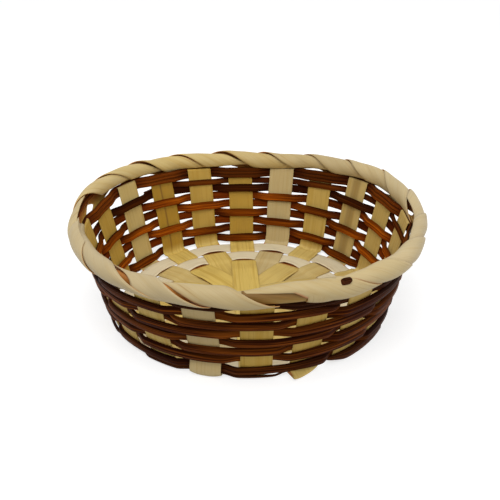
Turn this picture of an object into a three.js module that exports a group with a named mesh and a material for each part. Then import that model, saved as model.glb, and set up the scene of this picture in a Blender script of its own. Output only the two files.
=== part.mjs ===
// Round bread basket woven from flat bamboo strips and split dark rods.
// Millimetres, +Z up, origin on the resting plane under the centre of the base.
import * as THREE from 'three';
import { mergeVertices } from 'three/addons/utils/BufferGeometryUtils.js';

// Overall form
const RIM_RADIUS = 115; // axis of the basket to the middle of the rolled border
const RIM_HEIGHT = 67.5; // resting plane to the middle of the rolled border
const FOOT_RADIUS = 95; // where the line of the wall meets the base
const WALL_INSET = 3.4; // the line of the wall passes the middle of the border this far inside it
const CORNER_RADIUS = 2; // bend of a strip from base to wall

// Strips: each crosses the base and gives two stakes and two border ends
const STRIP_COUNT = 10;
const STRIP_WIDTH = 19.4;
const STRIP_THICKNESS = 0.5;

// Rolled border: each stake bends out, leans along the rim and is rolled inwards over the core
const ROLL_RADIUS = 5; // border strip round the core, where it comes up from its stake
const BEND_BELOW_RIM = 7.3; // middle of the border down to where a stake leaves the wall
const BORDER_SLANT = 30; // degrees between the border strips and the rim
const BORDER_END = 250; // degrees round the roll where a strip end is tucked under on the inside
const LEAN_RUN = 4.5; // length over which a stake leans over into the border
const ROLL_STEP = 28; // degrees between rows of facets round the roll

// Wall weaver: a spiral of split rods, over two stakes and under one
const WEAVER_HEIGHT = 6.2;
const WEAVER_DEPTH = 2.2;
const WEAVER_FIRST_STAKE = -8; // stake where the spiral starts, counted from the back
const WEAVER_REACH = 23; // stakes that a rod passes before the next rod takes over, about
const TWILL = 3; // every third stake is passed on its inside
const BUTT_GAP = 0.4; // between the ends of two rods

// Top course: thin round rods in plain weave under the border
const TOP_ROD_COUNT = 3;
const TOP_ROD_RADIUS = 0.9;

// Foot rod: a thin round rod in plain weave, in the room that the first round of the spiral leaves under it
const FOOT_ROD_RADIUS = 0.9;
const FOOT_ROD_STAKES = [2, 10]; // first and last stake that it passes, counted from the back

// End rod: the thin end of the spiral, between its last round and the top course
const END_ROD_RADIUS = 0.9;
const END_ROD_PASSES = 10; // stakes that it passes

const ROUND_ROD_SIDES = 6;

// Base rings: two flat splints woven through the spokes
const RING_WIDTH = 11;
const RING_THICKNESS = 0.5;
const RING_SEGMENTS = 60;

// Layers and clearances
const CLEARANCE = 0.3; // between pieces that lie on each other in wall and border
const BASE_CLEARANCE = 0.2; // between flat pieces that lie on each other in the base
const EDGE_MARGIN = 0.5; // a weaver stays flat this far past a stake's edge
const STACK_RAMP = 9; // length in which a spoke comes down from the centre stack
const BACK_ANGLE = 92.9; // degrees from +X to the stake that is counted as number 0

// Colours
const BAMBOO = { color: 0xd2b57a, roughness: 0.6, metalness: 0 };
const BAMBOO_BASE = { color: 0xd8bd7e, roughness: 0.6, metalness: 0 };
const DARK_ROD = { color: 0x4a230c, roughness: 0.35, metalness: 0 };
const RED_ROD = { color: 0x6b2f12, roughness: 0.45, metalness: 0 };

// Values that follow from the sizes above
const rad = THREE.MathUtils.degToRad;
const lerp = THREE.MathUtils.lerp;
const STAKE_COUNT = 2 * STRIP_COUNT;
const STAKE_ANGLE = (2 * Math.PI) / STAKE_COUNT;
const HALF_WIDTH = STRIP_WIDTH / 2;
const HALF_THICKNESS = STRIP_THICKNESS / 2;
const LAYER = STRIP_THICKNESS + CLEARANCE;
const LEVEL = Math.max(STRIP_THICKNESS, RING_THICKNESS) + BASE_CLEARANCE;
const PITCH = STAKE_ANGLE * RIM_RADIUS;
const COLUMNS = [-1, -1 / 3, 1 / 3, 1];

/** Height of the middle of a flat piece that lies on a level of the base. */
function levelHeight(level) {
  return HALF_THICKNESS + level * LEVEL;
}

// Line of the wall
const FOOT_HEIGHT = levelHeight(0);
const FLARE = Math.atan2(RIM_RADIUS - WALL_INSET - FOOT_RADIUS, RIM_HEIGHT - FOOT_HEIGHT);
const wallUp = new THREE.Vector2(Math.sin(FLARE), Math.cos(FLARE));
const wallIn = new THREE.Vector2(-Math.cos(FLARE), Math.sin(FLARE));
const CORNER_ARC = Math.PI / 2 - FLARE;
const CORNER_CUT = CORNER_RADIUS * Math.tan(CORNER_ARC / 2);
const CORNER_START = FOOT_RADIUS - CORNER_CUT;

/** Point on the middle surface of the wall at a height, as radius and height. */
function wallAt(height) {
  return new THREE.Vector2(FOOT_RADIUS + (height - FOOT_HEIGHT) * Math.tan(FLARE), height);
}

// Lead of a stake: straight from its bend in the wall to the outer side of the roll
const bend = wallAt(RIM_HEIGHT - BEND_BELOW_RIM);
const bendToRim = new THREE.Vector2(RIM_RADIUS, RIM_HEIGHT).sub(bend);
const LEAD_LENGTH = Math.sqrt(bendToRim.lengthSq() - ROLL_RADIUS ** 2);
const LEAD_ANGLE = bendToRim.angle() - Math.asin(ROLL_RADIUS / bendToRim.length());
const ROLL_START = LEAD_ANGLE - Math.PI / 2;

// Base rings share the room between the last overlap of the spokes and the corner,
// and a spoke changes level in the length that is left on each side of a ring
const OVERLAP_RADIUS = HALF_WIDTH / Math.sin(STAKE_ANGLE / 2);
const RING_RAMP = (CORNER_START - OVERLAP_RADIUS - 2 * RING_WIDTH - 6 * CLEARANCE) / 3;
const INNER_RING = OVERLAP_RADIUS + RING_RAMP + 2 * CLEARANCE;
const OUTER_RING = INNER_RING + RING_WIDTH + RING_RAMP + 2 * CLEARANCE;

// Centre stack: spokes of one group overlap up to this distance from the centre
const STACK_RADIUS = HALF_WIDTH / Math.sin(STAKE_ANGLE);
const STACK_ORDER = [9, 1, 7, 3, 5, 4, 8, 2, 6, 0]; // layer of each strip at the centre

// Top course hangs under the border, and the spiral fills the wall below it
const TOP_ROD_SPACING = 2 * TOP_ROD_RADIUS + CLEARANCE;
const TOP_ROD_HIGHEST = bend.y - CLEARANCE - TOP_ROD_RADIUS;
const TOP_ROD_LOWEST = TOP_ROD_HIGHEST - (TOP_ROD_COUNT - 1) * TOP_ROD_SPACING;
const WEAVER_LOWEST = STRIP_THICKNESS + WEAVER_HEIGHT / 2 - CLEARANCE;
const WEAVER_HIGHEST = TOP_ROD_LOWEST - TOP_ROD_RADIUS - CLEARANCE - WEAVER_HEIGHT / 2;
const WEAVER_CLIMB = WEAVER_HIGHEST - WEAVER_LOWEST;
const WEAVER_ROUNDS = Math.floor(WEAVER_CLIMB / (WEAVER_HEIGHT + CLEARANCE));
const WEAVER_RISE = WEAVER_CLIMB / WEAVER_ROUNDS;
const WEAVER_PASSES = WEAVER_ROUNDS * STAKE_COUNT;
const WEAVER_RODS = Math.round(WEAVER_PASSES / WEAVER_REACH);

/** Closed body lofted through rings of points, with flat ends. */
function loft(rings) {
  const count = rings[0].length;
  const positions = rings.flat().flatMap((point) => [point.x, point.y, point.z]);
  const index = [];
  for (let row = 0; row + 1 < rings.length; row += 1) {
    for (let i = 0; i < count; i += 1) {
      const a = row * count + i;
      const b = row * count + ((i + 1) % count);
      index.push(a, b, b + count, a, b + count, a + count);
    }
  }
  return { positions, index, count };
}

/** Mesh geometry of a loft whose end rings are capped by the given triangles. */
function cappedGeometry(rings, capTriangles) {
  const { positions, index, count } = loft(rings);
  const last = (rings.length - 1) * count;
  for (const [a, b, c] of capTriangles) {
    index.push(a, c, b, last + a, last + b, last + c);
  }
  const geometry = new THREE.BufferGeometry();
  geometry.setAttribute('position', new THREE.Float32BufferAttribute(positions, 3));
  geometry.setIndex(index);
  geometry.computeVertexNormals();
  return geometry;
}

/** Triangles that fill a convex end ring of a number of points. */
function fanTriangles(count) {
  return Array.from({ length: count - 2 }, (_, i) => [0, i + 1, i + 2]);
}

/** Triangles that fill the end of a strip: columns on the outer face, then back on the inner. */
function stripEndTriangles() {
  const last = 2 * COLUMNS.length - 1;
  const triangles = [];
  for (let i = 0; i + 1 < COLUMNS.length; i += 1) {
    triangles.push([i, i + 1, last - i], [i + 1, last - i - 1, last - i]);
  }
  return triangles;
}

/** Named mesh with a material of its own. */
function piece(name, geometry, finish) {
  const mesh = new THREE.Mesh(geometry, new THREE.MeshStandardMaterial(finish));
  mesh.name = name;
  return mesh;
}

/** Point given by radius, height and distance along the rim, in the frame of one stake. */
function stakePoint(angle, radius, height, along, roundness) {
  const outward = new THREE.Vector3(Math.cos(angle), Math.sin(angle), 0);
  const sideways = new THREE.Vector3(-Math.sin(angle), Math.cos(angle), 0);
  const flat = outward.multiplyScalar(radius).addScaledVector(sideways, along);
  const turned = angle + along / RIM_RADIUS;
  const round = new THREE.Vector3(Math.cos(turned) * radius, Math.sin(turned) * radius, 0);
  return flat.lerp(round, roundness).setZ(height);
}

/** Row across a strip: place on the profile, its normal, and how the strip lies there. */
function stripRow(radius, height, normal, options = {}) {
  const { centre = 0, halfWidth = HALF_WIDTH, roundness = 0, ramp = 0 } = options;
  return { radius, height, normal, centre, halfWidth, roundness, ramp };
}

/** Rows of the flat part of a strip, from the centre of the base to the corner. */
function baseRows(strip) {
  const isUpper = strip % 2 === 0;
  const up = new THREE.Vector2(0, 1);
  const stackHeight = levelHeight(STACK_ORDER[strip]);
  const spokeLevel = isUpper ? 1 : 0;
  const innerLevel = isUpper ? 0 : 2;
  const outerLevel = isUpper ? 2 : 0;
  const stackEnd = STACK_RADIUS + (isUpper ? STACK_RAMP / 2 : 0);
  const ringRows = (start, level) => [
    stripRow(start - 2 * CLEARANCE, levelHeight(level), up),
    stripRow(start + RING_WIDTH + CLEARANCE, levelHeight(level), up),
  ];
  return [
    stripRow(stackEnd, stackHeight, up),
    stripRow(stackEnd + STACK_RAMP, levelHeight(spokeLevel), up),
    stripRow(OVERLAP_RADIUS, levelHeight(spokeLevel), up),
    ...ringRows(INNER_RING, innerLevel),
    ...ringRows(OUTER_RING, outerLevel),
  ];
}

/** Rows of the bend from the base up into the wall. */
function cornerRows() {
  const steps = 3;
  const rows = [];
  for (let i = 0; i <= steps; i += 1) {
    const turn = (CORNER_ARC * i) / steps;
    const radius = CORNER_START + CORNER_RADIUS * Math.sin(turn);
    const height = FOOT_HEIGHT + CORNER_RADIUS * (1 - Math.cos(turn));
    rows.push(stripRow(radius, height, new THREE.Vector2(-Math.sin(turn), Math.cos(turn))));
  }
  return rows;
}

/** Slant of a border strip at a distance past the start of its lean, in radians. */
function slantAt(run) {
  const share = THREE.MathUtils.smoothstep(run, 0, LEAN_RUN);
  return lerp(Math.PI / 2, rad(BORDER_SLANT), share);
}

/** Rows where a stake leaves the wall, leans over along the rim and wraps round the roll. */
function borderRows() {
  const leadSteps = 3;
  const rollArc = rad(BORDER_END) - ROLL_START;
  const rollSteps = Math.round(rollArc / rad(ROLL_STEP));
  const lead = new THREE.Vector2(Math.cos(LEAD_ANGLE), Math.sin(LEAD_ANGLE));
  const leadIn = new THREE.Vector2(-lead.y, lead.x);
  const bendIn = wallIn.clone().add(leadIn);
  bendIn.divideScalar(1 + wallIn.dot(leadIn));
  const rows = [];
  let centre = 0;
  let lastRun = 0;
  const addRow = (run, radius, height, normal) => {
    centre -= (run - lastRun) / Math.tan(slantAt((run + lastRun) / 2));
    lastRun = run;
    const halfWidth = HALF_WIDTH / Math.sin(slantAt(run));
    const roundness = Math.min(1, run / LEAD_LENGTH);
    const ramp = Math.min(1, run / LEAN_RUN);
    rows.push(stripRow(radius, height, normal, { centre, halfWidth, roundness, ramp }));
  };
  for (let i = 0; i < leadSteps; i += 1) {
    const run = (LEAD_LENGTH * i) / leadSteps;
    const place = bend.clone().addScaledVector(lead, run);
    addRow(run, place.x, place.y, i === 0 ? bendIn : leadIn);
  }
  for (let i = 0; i <= rollSteps; i += 1) {
    const turn = ROLL_START + (rollArc * i) / rollSteps;
    const inward = new THREE.Vector2(-Math.cos(turn), -Math.sin(turn));
    const run = LEAD_LENGTH + ROLL_RADIUS * (turn - ROLL_START);
    addRow(run, RIM_RADIUS - ROLL_RADIUS * inward.x, RIM_HEIGHT - ROLL_RADIUS * inward.y, inward);
  }
  return rows;
}

const BORDER_ROWS = borderRows();

/** Points round one row of a strip: its outer face, then its inner face. */
function rowPoints(row, angle) {
  const pointAt = (column, side) => {
    const along = row.centre + column * row.halfWidth;
    const offset = side * HALF_THICKNESS - (row.ramp * LAYER * along) / PITCH;
    const radius = row.radius + row.normal.x * offset;
    const height = row.height + row.normal.y * offset;
    return stakePoint(angle, radius, height, along, row.roundness);
  };
  const outer = COLUMNS.map((column) => pointAt(column, -1));
  const inner = COLUMNS.map((column) => pointAt(column, 1)).reverse();
  return [...outer, ...inner];
}

/** The same row's points in the order that the opposite half of the strip needs. */
function turnedOrder(points) {
  const outer = points.slice(0, COLUMNS.length).reverse();
  const inner = points.slice(COLUMNS.length).reverse();
  return [...outer, ...inner];
}

/** One strip: border end, stake, spoke across the base, stake and border end. */
function stripGeometry(strip) {
  const angle = rad(BACK_ANGLE) + strip * STAKE_ANGLE;
  const rows = [...baseRows(strip), ...cornerRows(), ...BORDER_ROWS];
  const near = rows.map((row) => rowPoints(row, angle));
  const far = rows.map((row) => turnedOrder(rowPoints(row, angle + Math.PI)));
  return cappedGeometry([...far.reverse(), ...near], stripEndTriangles());
}

/** Stations of a rod woven past stakes, each with its place and the frame of its section. */
function wovenStations(first, last, offsetAt, heightAt) {
  const reach = HALF_WIDTH + EDGE_MARGIN;
  const besideStake = (stake, side) => {
    const angle = rad(BACK_ANGLE) + stake * STAKE_ANGLE;
    const along = side * reach;
    const wall = wallAt(heightAt(stake + (along / PITCH)));
    const radius = wall.x - offsetAt(stake) * wallIn.x;
    const height = wall.y - offsetAt(stake) * wallIn.y;
    const outward = new THREE.Vector3(Math.cos(angle), Math.sin(angle), 0);
    return {
      place: stakePoint(angle, radius, height, along, 0),
      up: outward.clone().multiplyScalar(wallUp.x).setZ(wallUp.y),
      out: outward.clone().multiplyScalar(-wallIn.x).setZ(-wallIn.y),
    };
  };
  const between = (stake, nudge) => {
    const before = besideStake(stake, 1);
    const after = besideStake(stake + 1, -1);
    const span = before.place.distanceTo(after.place);
    return {
      place: before.place.clone().lerp(after.place, 0.5 + nudge / span),
      up: before.up.clone().add(after.up).normalize(),
      out: before.out.clone().add(after.out).normalize(),
    };
  };
  const stations = [between(first - 1, BUTT_GAP / 2)];
  for (let stake = first; stake <= last; stake += 1) {
    stations.push(besideStake(stake, -1), besideStake(stake, 1));
  }
  stations.push(between(last, -BUTT_GAP / 2));
  return stations;
}

/** Rod with a constant section, given as pairs of height and depth, along its stations. */
function rodGeometry(stations, section) {
  const rings = stations.map(({ place, up, out }) =>
    section.map(([height, depth]) =>
      place.clone().addScaledVector(up, height).addScaledVector(out, depth)));
  return cappedGeometry(rings, fanTriangles(section.length));
}

/** Section of a split rod: nearly flat towards the inside, rounded towards the outside. */
function splitRodSection() {
  const half = WEAVER_HEIGHT / 2;
  const deep = WEAVER_DEPTH / 2;
  const flatShare = 0.9;
  const crownShare = 0.55;
  return [
    [half * flatShare, -deep],
    [half, 0],
    [half * crownShare, deep],
    [-half * crownShare, deep],
    [-half, 0],
    [-half * flatShare, -deep],
  ];
}

/** Section of a round rod. */
function roundRodSection(radius) {
  return Array.from({ length: ROUND_ROD_SIDES }, (_, i) => {
    const turn = Math.PI / 2 - (2 * Math.PI * i) / ROUND_ROD_SIDES;
    return [radius * Math.sin(turn), radius * Math.cos(turn)];
  });
}

/** Distance of a spiral rod from the middle of the wall as it passes a stake, from half its depth. */
function twillOffset(halfDepth) {
  const offset = HALF_THICKNESS + CLEARANCE + halfDepth;
  return (stake) => (stake % TWILL === 0 ? -offset : offset);
}

/** One rod of the spiral weaver, counted from below. */
function weaverGeometry(rod) {
  const startOf = (index) => WEAVER_FIRST_STAKE + Math.round((index * WEAVER_PASSES) / WEAVER_RODS);
  const offsetAt = twillOffset(WEAVER_DEPTH / 2);
  const heightAt = (stake) =>
    WEAVER_LOWEST + (WEAVER_RISE * (stake - WEAVER_FIRST_STAKE)) / STAKE_COUNT;
  const stations = wovenStations(startOf(rod), startOf(rod + 1) - 1, offsetAt, heightAt);
  return rodGeometry(stations, splitRodSection());
}

/** Thin end of the spiral, which goes on where its last rod stops. */
function endRodGeometry() {
  const first = WEAVER_FIRST_STAKE + WEAVER_PASSES;
  const heightAt = () => TOP_ROD_LOWEST - TOP_ROD_RADIUS - CLEARANCE - END_ROD_RADIUS;
  const stations = wovenStations(first, first + END_ROD_PASSES - 1, twillOffset(END_ROD_RADIUS), heightAt);
  return rodGeometry(stations, roundRodSection(END_ROD_RADIUS));
}

/** One rod of the top course, counted from below. */
function topRodGeometry(rod) {
  const offset = HALF_THICKNESS + CLEARANCE + TOP_ROD_RADIUS;
  const offsetAt = (stake) => (stake % 2 === 0 ? -offset : offset);
  const heightAt = () => TOP_ROD_LOWEST + rod * TOP_ROD_SPACING;
  const stations = wovenStations(0, STAKE_COUNT - 1, offsetAt, heightAt);
  return rodGeometry(stations, roundRodSection(TOP_ROD_RADIUS));
}

/** Thin rod at the foot of the wall, which lies just clear of the corners of the strips. */
function footRodGeometry() {
  const [first, last] = FOOT_ROD_STAKES;
  const offset = HALF_THICKNESS + CLEARANCE + FOOT_ROD_RADIUS;
  const offsetAt = (stake) => (stake % 2 === 0 ? offset : -offset);
  const heightAt = () => STRIP_THICKNESS + 2 * CLEARANCE + FOOT_ROD_RADIUS;
  return rodGeometry(wovenStations(first, last, offsetAt, heightAt), roundRodSection(FOOT_ROD_RADIUS));
}

/** Geometry of a revolved closed outline of radius and height pairs. */
function revolved(outline, segments) {
  const points = [...outline, outline[0]].map(([radius, height]) => new THREE.Vector2(radius, height));
  const geometry = new THREE.LatheGeometry(points, segments);
  geometry.rotateX(Math.PI / 2);
  geometry.deleteAttribute('normal');
  geometry.deleteAttribute('uv');
  const merged = mergeVertices(geometry, 1e-4);
  merged.computeVertexNormals();
  return merged;
}

/** Flat splint ring in the base. */
function ringGeometry(innerRadius) {
  const low = levelHeight(1) - RING_THICKNESS / 2;
  const high = levelHeight(1) + RING_THICKNESS / 2;
  const outerRadius = innerRadius + RING_WIDTH;
  const outline = [[innerRadius, low], [outerRadius, low], [outerRadius, high], [innerRadius, high]];
  return revolved(outline, RING_SEGMENTS);
}

/** Round hoop that the border is rolled over. */
function coreGeometry() {
  const sides = 6;
  const facetShare = Math.cos(rad(ROLL_STEP) / 2);
  const end = BORDER_ROWS[BORDER_ROWS.length - 1];
  const innermost = ROLL_RADIUS + (LAYER * (end.centre - end.halfWidth)) / PITCH - HALF_THICKNESS;
  const radius = innermost * facetShare - CLEARANCE;
  const outline = Array.from({ length: sides }, (_, i) => {
    const turn = (2 * Math.PI * i) / sides;
    return [RIM_RADIUS + radius * Math.cos(turn), RIM_HEIGHT + radius * Math.sin(turn)];
  });
  return revolved(outline, RING_SEGMENTS);
}

const basket = new THREE.Group();
for (let strip = 0; strip < STRIP_COUNT; strip += 1) {
  const name = `stake_strip_${String(strip + 1).padStart(2, '0')}`;
  basket.add(piece(name, stripGeometry(strip), BAMBOO));
}
for (let rod = 0; rod < WEAVER_RODS; rod += 1) {
  basket.add(piece(`weaver_rod_${rod + 1}`, weaverGeometry(rod), DARK_ROD));
}
for (let rod = 0; rod < TOP_ROD_COUNT; rod += 1) {
  basket.add(piece(`top_rod_${rod + 1}`, topRodGeometry(rod), RED_ROD));
}
basket.add(piece('foot_rod', footRodGeometry(), RED_ROD));
basket.add(piece('end_rod', endRodGeometry(), RED_ROD));
basket.add(piece('rim_core', coreGeometry(), DARK_ROD));
basket.add(piece('base_ring_inner', ringGeometry(INNER_RING), BAMBOO_BASE));
basket.add(piece('base_ring_outer', ringGeometry(OUTER_RING), BAMBOO_BASE));

export default basket;
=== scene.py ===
"""Looks of a round bread basket, woven from flat bamboo strips and dark split rods.

Sizes are in metres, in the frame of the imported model: +Z up, origin on the resting plane under the base.
Stakes are numbered from the middle of the back, counterclockwise seen from above.
"""

import logging
import math
from dataclasses import dataclass
from enum import Enum
from typing import ClassVar, Optional, Sequence, Union

import bpy
import numpy as np
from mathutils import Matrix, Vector


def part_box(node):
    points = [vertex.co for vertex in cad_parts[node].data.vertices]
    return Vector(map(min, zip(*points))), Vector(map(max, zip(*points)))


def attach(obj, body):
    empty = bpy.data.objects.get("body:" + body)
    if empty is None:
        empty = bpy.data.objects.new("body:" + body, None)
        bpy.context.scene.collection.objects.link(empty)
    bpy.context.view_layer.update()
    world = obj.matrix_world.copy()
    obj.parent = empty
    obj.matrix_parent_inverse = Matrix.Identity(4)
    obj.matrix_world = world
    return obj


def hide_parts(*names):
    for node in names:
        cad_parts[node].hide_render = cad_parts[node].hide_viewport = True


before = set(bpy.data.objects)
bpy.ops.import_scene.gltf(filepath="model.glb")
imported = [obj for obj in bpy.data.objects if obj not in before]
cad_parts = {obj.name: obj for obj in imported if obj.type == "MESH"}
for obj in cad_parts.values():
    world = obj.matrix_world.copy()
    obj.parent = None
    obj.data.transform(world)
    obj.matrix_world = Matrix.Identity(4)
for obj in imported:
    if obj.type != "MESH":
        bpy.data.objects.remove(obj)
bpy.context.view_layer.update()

MM = 0.001
FULL_TURN = 2.0 * math.pi
BODY = "root"
GRAIN_UV = "grain"
RIPPLE_STRETCHES = (1.0, 1.7, 2.9)
RIPPLE_PEAK = 2.2
log = logging.getLogger("basket")

Value = Union[float, int, "Socket"]
Colour = tuple[float, float, float]
Span = tuple[float, float]


class Pass(Enum):
    """Side on which a woven rod passes a stake."""

    INSIDE = -1
    OUTSIDE = 1


class Slot(Enum):
    """Material slots of the record."""

    STRIP = "bamboo_strip"
    SPLIT_ROD = "dark_split_rod"
    ROUND_ROD = "dark_round_rod"
    SPLINT = "bamboo_splint"


class Draw(Enum):
    """First seed of each kind of random draw; a piece's own number is added to it."""

    MARKS = 8
    BORDER_END = 20
    STAKE_TONE = 40
    RING_SWAY = 41
    OPENING = 60
    STAKE = 100
    EDGE_SWAY = 300
    FACE_WAVE = 500
    PUFF = 700
    BULGE = 900

    def seed(self, number: int = 0) -> int:
        """Seed of a piece's draw of this kind."""
        return self.value + number

    def generator(self, number: int = 0) -> np.random.Generator:
        """Generator of a piece's draws of this kind."""
        return np.random.default_rng(self.seed(number))


# Small helpers


def smoothstep(value: np.ndarray, low: float, high: float) -> np.ndarray:
    """Smooth step from 0 at low to 1 at high.

    Args:
        value: Numbers to map.
        low: Where the step starts.
        high: Where the step ends.

    Returns:
        The mapped numbers, from 0 to 1.
    """
    share = np.clip((np.asarray(value, float) - low) / (high - low), 0.0, 1.0)
    return share * share * (3.0 - 2.0 * share)


def ripple(place: np.ndarray, wavelength: float, seed: int) -> np.ndarray:
    """Smooth random wave, the same on every run.

    Args:
        place: Where along the piece, in metres.
        wavelength: Typical length of a wave.
        seed: Number of the random draw.

    Returns:
        Values from about -1 to 1.
    """
    draw = np.random.default_rng(seed)
    total = np.zeros_like(np.asarray(place, float))
    for stretch in RIPPLE_STRETCHES:
        phase = draw.uniform(0.0, FULL_TURN)
        total += np.sin(FULL_TURN * place / (wavelength * stretch) + phase)
    return total / RIPPLE_PEAK


def add_object(name: str, data: bpy.types.ID) -> bpy.types.Object:
    """Puts a new object into the scene.

    Args:
        name: The object's name.
        data: Its mesh, lamp or camera.

    Returns:
        The object.
    """
    made = bpy.data.objects.new(name, data)
    bpy.context.scene.collection.objects.link(made)
    return made


def store(mesh: bpy.types.Mesh, name: str, values: np.ndarray) -> None:
    """Keeps a number for each point of a mesh.

    Args:
        mesh: The mesh.
        name: Name that a finish reads the numbers by.
        values: The numbers, in the order of the points.
    """
    stored = mesh.attributes.new(name, "FLOAT", "POINT")
    stored.data.foreach_set("value", values.astype(np.float32).ravel())


# Node trees


class Socket:
    """A node socket with arithmetic: an expression on it adds Math nodes to its tree."""

    def __init__(self, tree: "Tree", socket: bpy.types.NodeSocket) -> None:
        """Keeps the socket and the tree that it belongs to."""
        self.tree = tree
        self.socket = socket

    def output(self, name: str) -> "Socket":
        """Another output of the same node, by its name."""
        return Socket(self.tree, self.socket.node.outputs[name])

    def math(self, operation: str, *values: Value) -> "Socket":
        """Math node of this value and the operation's further values."""
        inputs = dict(enumerate((self, *values)))
        return self.tree.add("ShaderNodeMath", {"operation": operation}, inputs)

    def _swapped(self, operation: str, value: Value) -> "Socket":
        """Math node with this value in second place."""
        return self.tree.add("ShaderNodeMath", {"operation": operation}, {0: value, 1: self})

    def __add__(self, other: Value) -> "Socket":
        """This value plus another."""
        return self.math("ADD", other)

    def __sub__(self, other: Value) -> "Socket":
        """This value minus another."""
        return self.math("SUBTRACT", other)

    def __mul__(self, other: Value) -> "Socket":
        """This value times another."""
        return self.math("MULTIPLY", other)

    def __truediv__(self, other: Value) -> "Socket":
        """This value divided by another."""
        return self.math("DIVIDE", other)

    def __rsub__(self, other: Value) -> "Socket":
        """Another value minus this one."""
        return self._swapped("SUBTRACT", other)

    def __rtruediv__(self, other: Value) -> "Socket":
        """Another value divided by this one."""
        return self._swapped("DIVIDE", other)

    __radd__ = __add__
    __rmul__ = __mul__

    def step(self, low: Value, high: Value) -> "Socket":
        """Smooth step of this value from 0 at low to 1 at high."""
        inputs = {"Value": self, "From Min": low, "From Max": high}
        return self.tree.add("ShaderNodeMapRange", {"interpolation_type": "SMOOTHSTEP"}, inputs)


class Tree:
    """A node tree with one way of adding nodes to it."""

    def __init__(self, tree: bpy.types.NodeTree) -> None:
        """Wraps a tree."""
        self.tree = tree

    def add(self, kind: str, settings: Optional[dict] = None, inputs: Optional[dict] = None,
            output: Union[int, str] = 0) -> Socket:
        """Adds a node.

        Args:
            kind: The node's type.
            settings: Its own settings, which are set first.
            inputs: Values or links of its sockets, by name or number.
            output: The output that is wanted.

        Returns:
            That output, for further expressions, or the first input of a node that has no outputs.
        """
        node = self.tree.nodes.new(kind)
        for name, value in (settings or {}).items():
            setattr(node, name, value)
        self.fill(node, inputs or {})
        return Socket(self, node.outputs[output] if len(node.outputs) else node.inputs[0])

    def fill(self, node: bpy.types.Node, inputs: dict) -> None:
        """Gives a node's sockets their values or links.

        Args:
            node: The node.
            inputs: Values or links, by the socket's name or number.
        """
        for name, value in inputs.items():
            if isinstance(value, Socket):
                self.tree.links.new(value.socket, node.inputs[name])
            else:
                node.inputs[name].default_value = value

    def combine(self, x: Value, y: Value, z: Value) -> Socket:
        """Vector of three values."""
        return self.add("ShaderNodeCombineXYZ", None, {"X": x, "Y": y, "Z": z})

    def noise(self, vector: Socket, scale: float, detail: float = 2.0, roughness: float = 0.5) -> Socket:
        """Noise from 0 to 1 on a vector."""
        inputs = {"Vector": vector, "Scale": scale, "Detail": detail, "Roughness": roughness}
        return self.add("ShaderNodeTexNoise", None, inputs)

    def line_noise(self, place: Socket) -> Socket:
        """Noise from 0 to 1 along a line."""
        inputs = {"W": place, "Scale": 1.0, "Detail": 1.0}
        return self.add("ShaderNodeTexNoise", {"noise_dimensions": "1D"}, inputs)

    def mix(self, share: Value, first: Union[Socket, Colour], second: Union[Socket, Colour],
            blend: str = "MIX") -> Socket:
        """Mix of two colours.

        Args:
            share: How much of the second colour.
            first: First colour.
            second: Second colour.
            blend: Name of the blend.

        Returns:
            The mixed colour.
        """
        colours = [c if isinstance(c, Socket) else (*c, 1.0) for c in (first, second)]
        settings = {"data_type": "RGBA", "blend_type": blend}
        return self.add("ShaderNodeMix", settings, {0: share, 6: colours[0], 7: colours[1]}, output=2)

    def shaded(self, colour: Union[Socket, Colour], shade: Socket) -> Socket:
        """Colour times a brightness."""
        return self.mix(1.0, colour, self.combine(shade, shade, shade), "MULTIPLY")

    def attribute(self, name: str) -> Socket:
        """Number stored on the mesh under a name."""
        return self.add("ShaderNodeAttribute", {"attribute_name": name}, output="Fac")

    def split(self, vector: Socket) -> tuple[Socket, Socket]:
        """First two values of a vector."""
        parts = self.add("ShaderNodeSeparateXYZ", None, {"Vector": vector})
        return parts.output("X"), parts.output("Y")


def shader_tree(name: str) -> tuple[bpy.types.Material, Tree, bpy.types.Node]:
    """New material with a Principled shader.

    Args:
        name: The material's name.

    Returns:
        The material, its tree and its Principled node.
    """
    material = bpy.data.materials.new(name)
    material.use_nodes = True
    nodes = material.node_tree.nodes
    return material, Tree(material.node_tree), nodes["Principled BSDF"]


# Finishes


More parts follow.
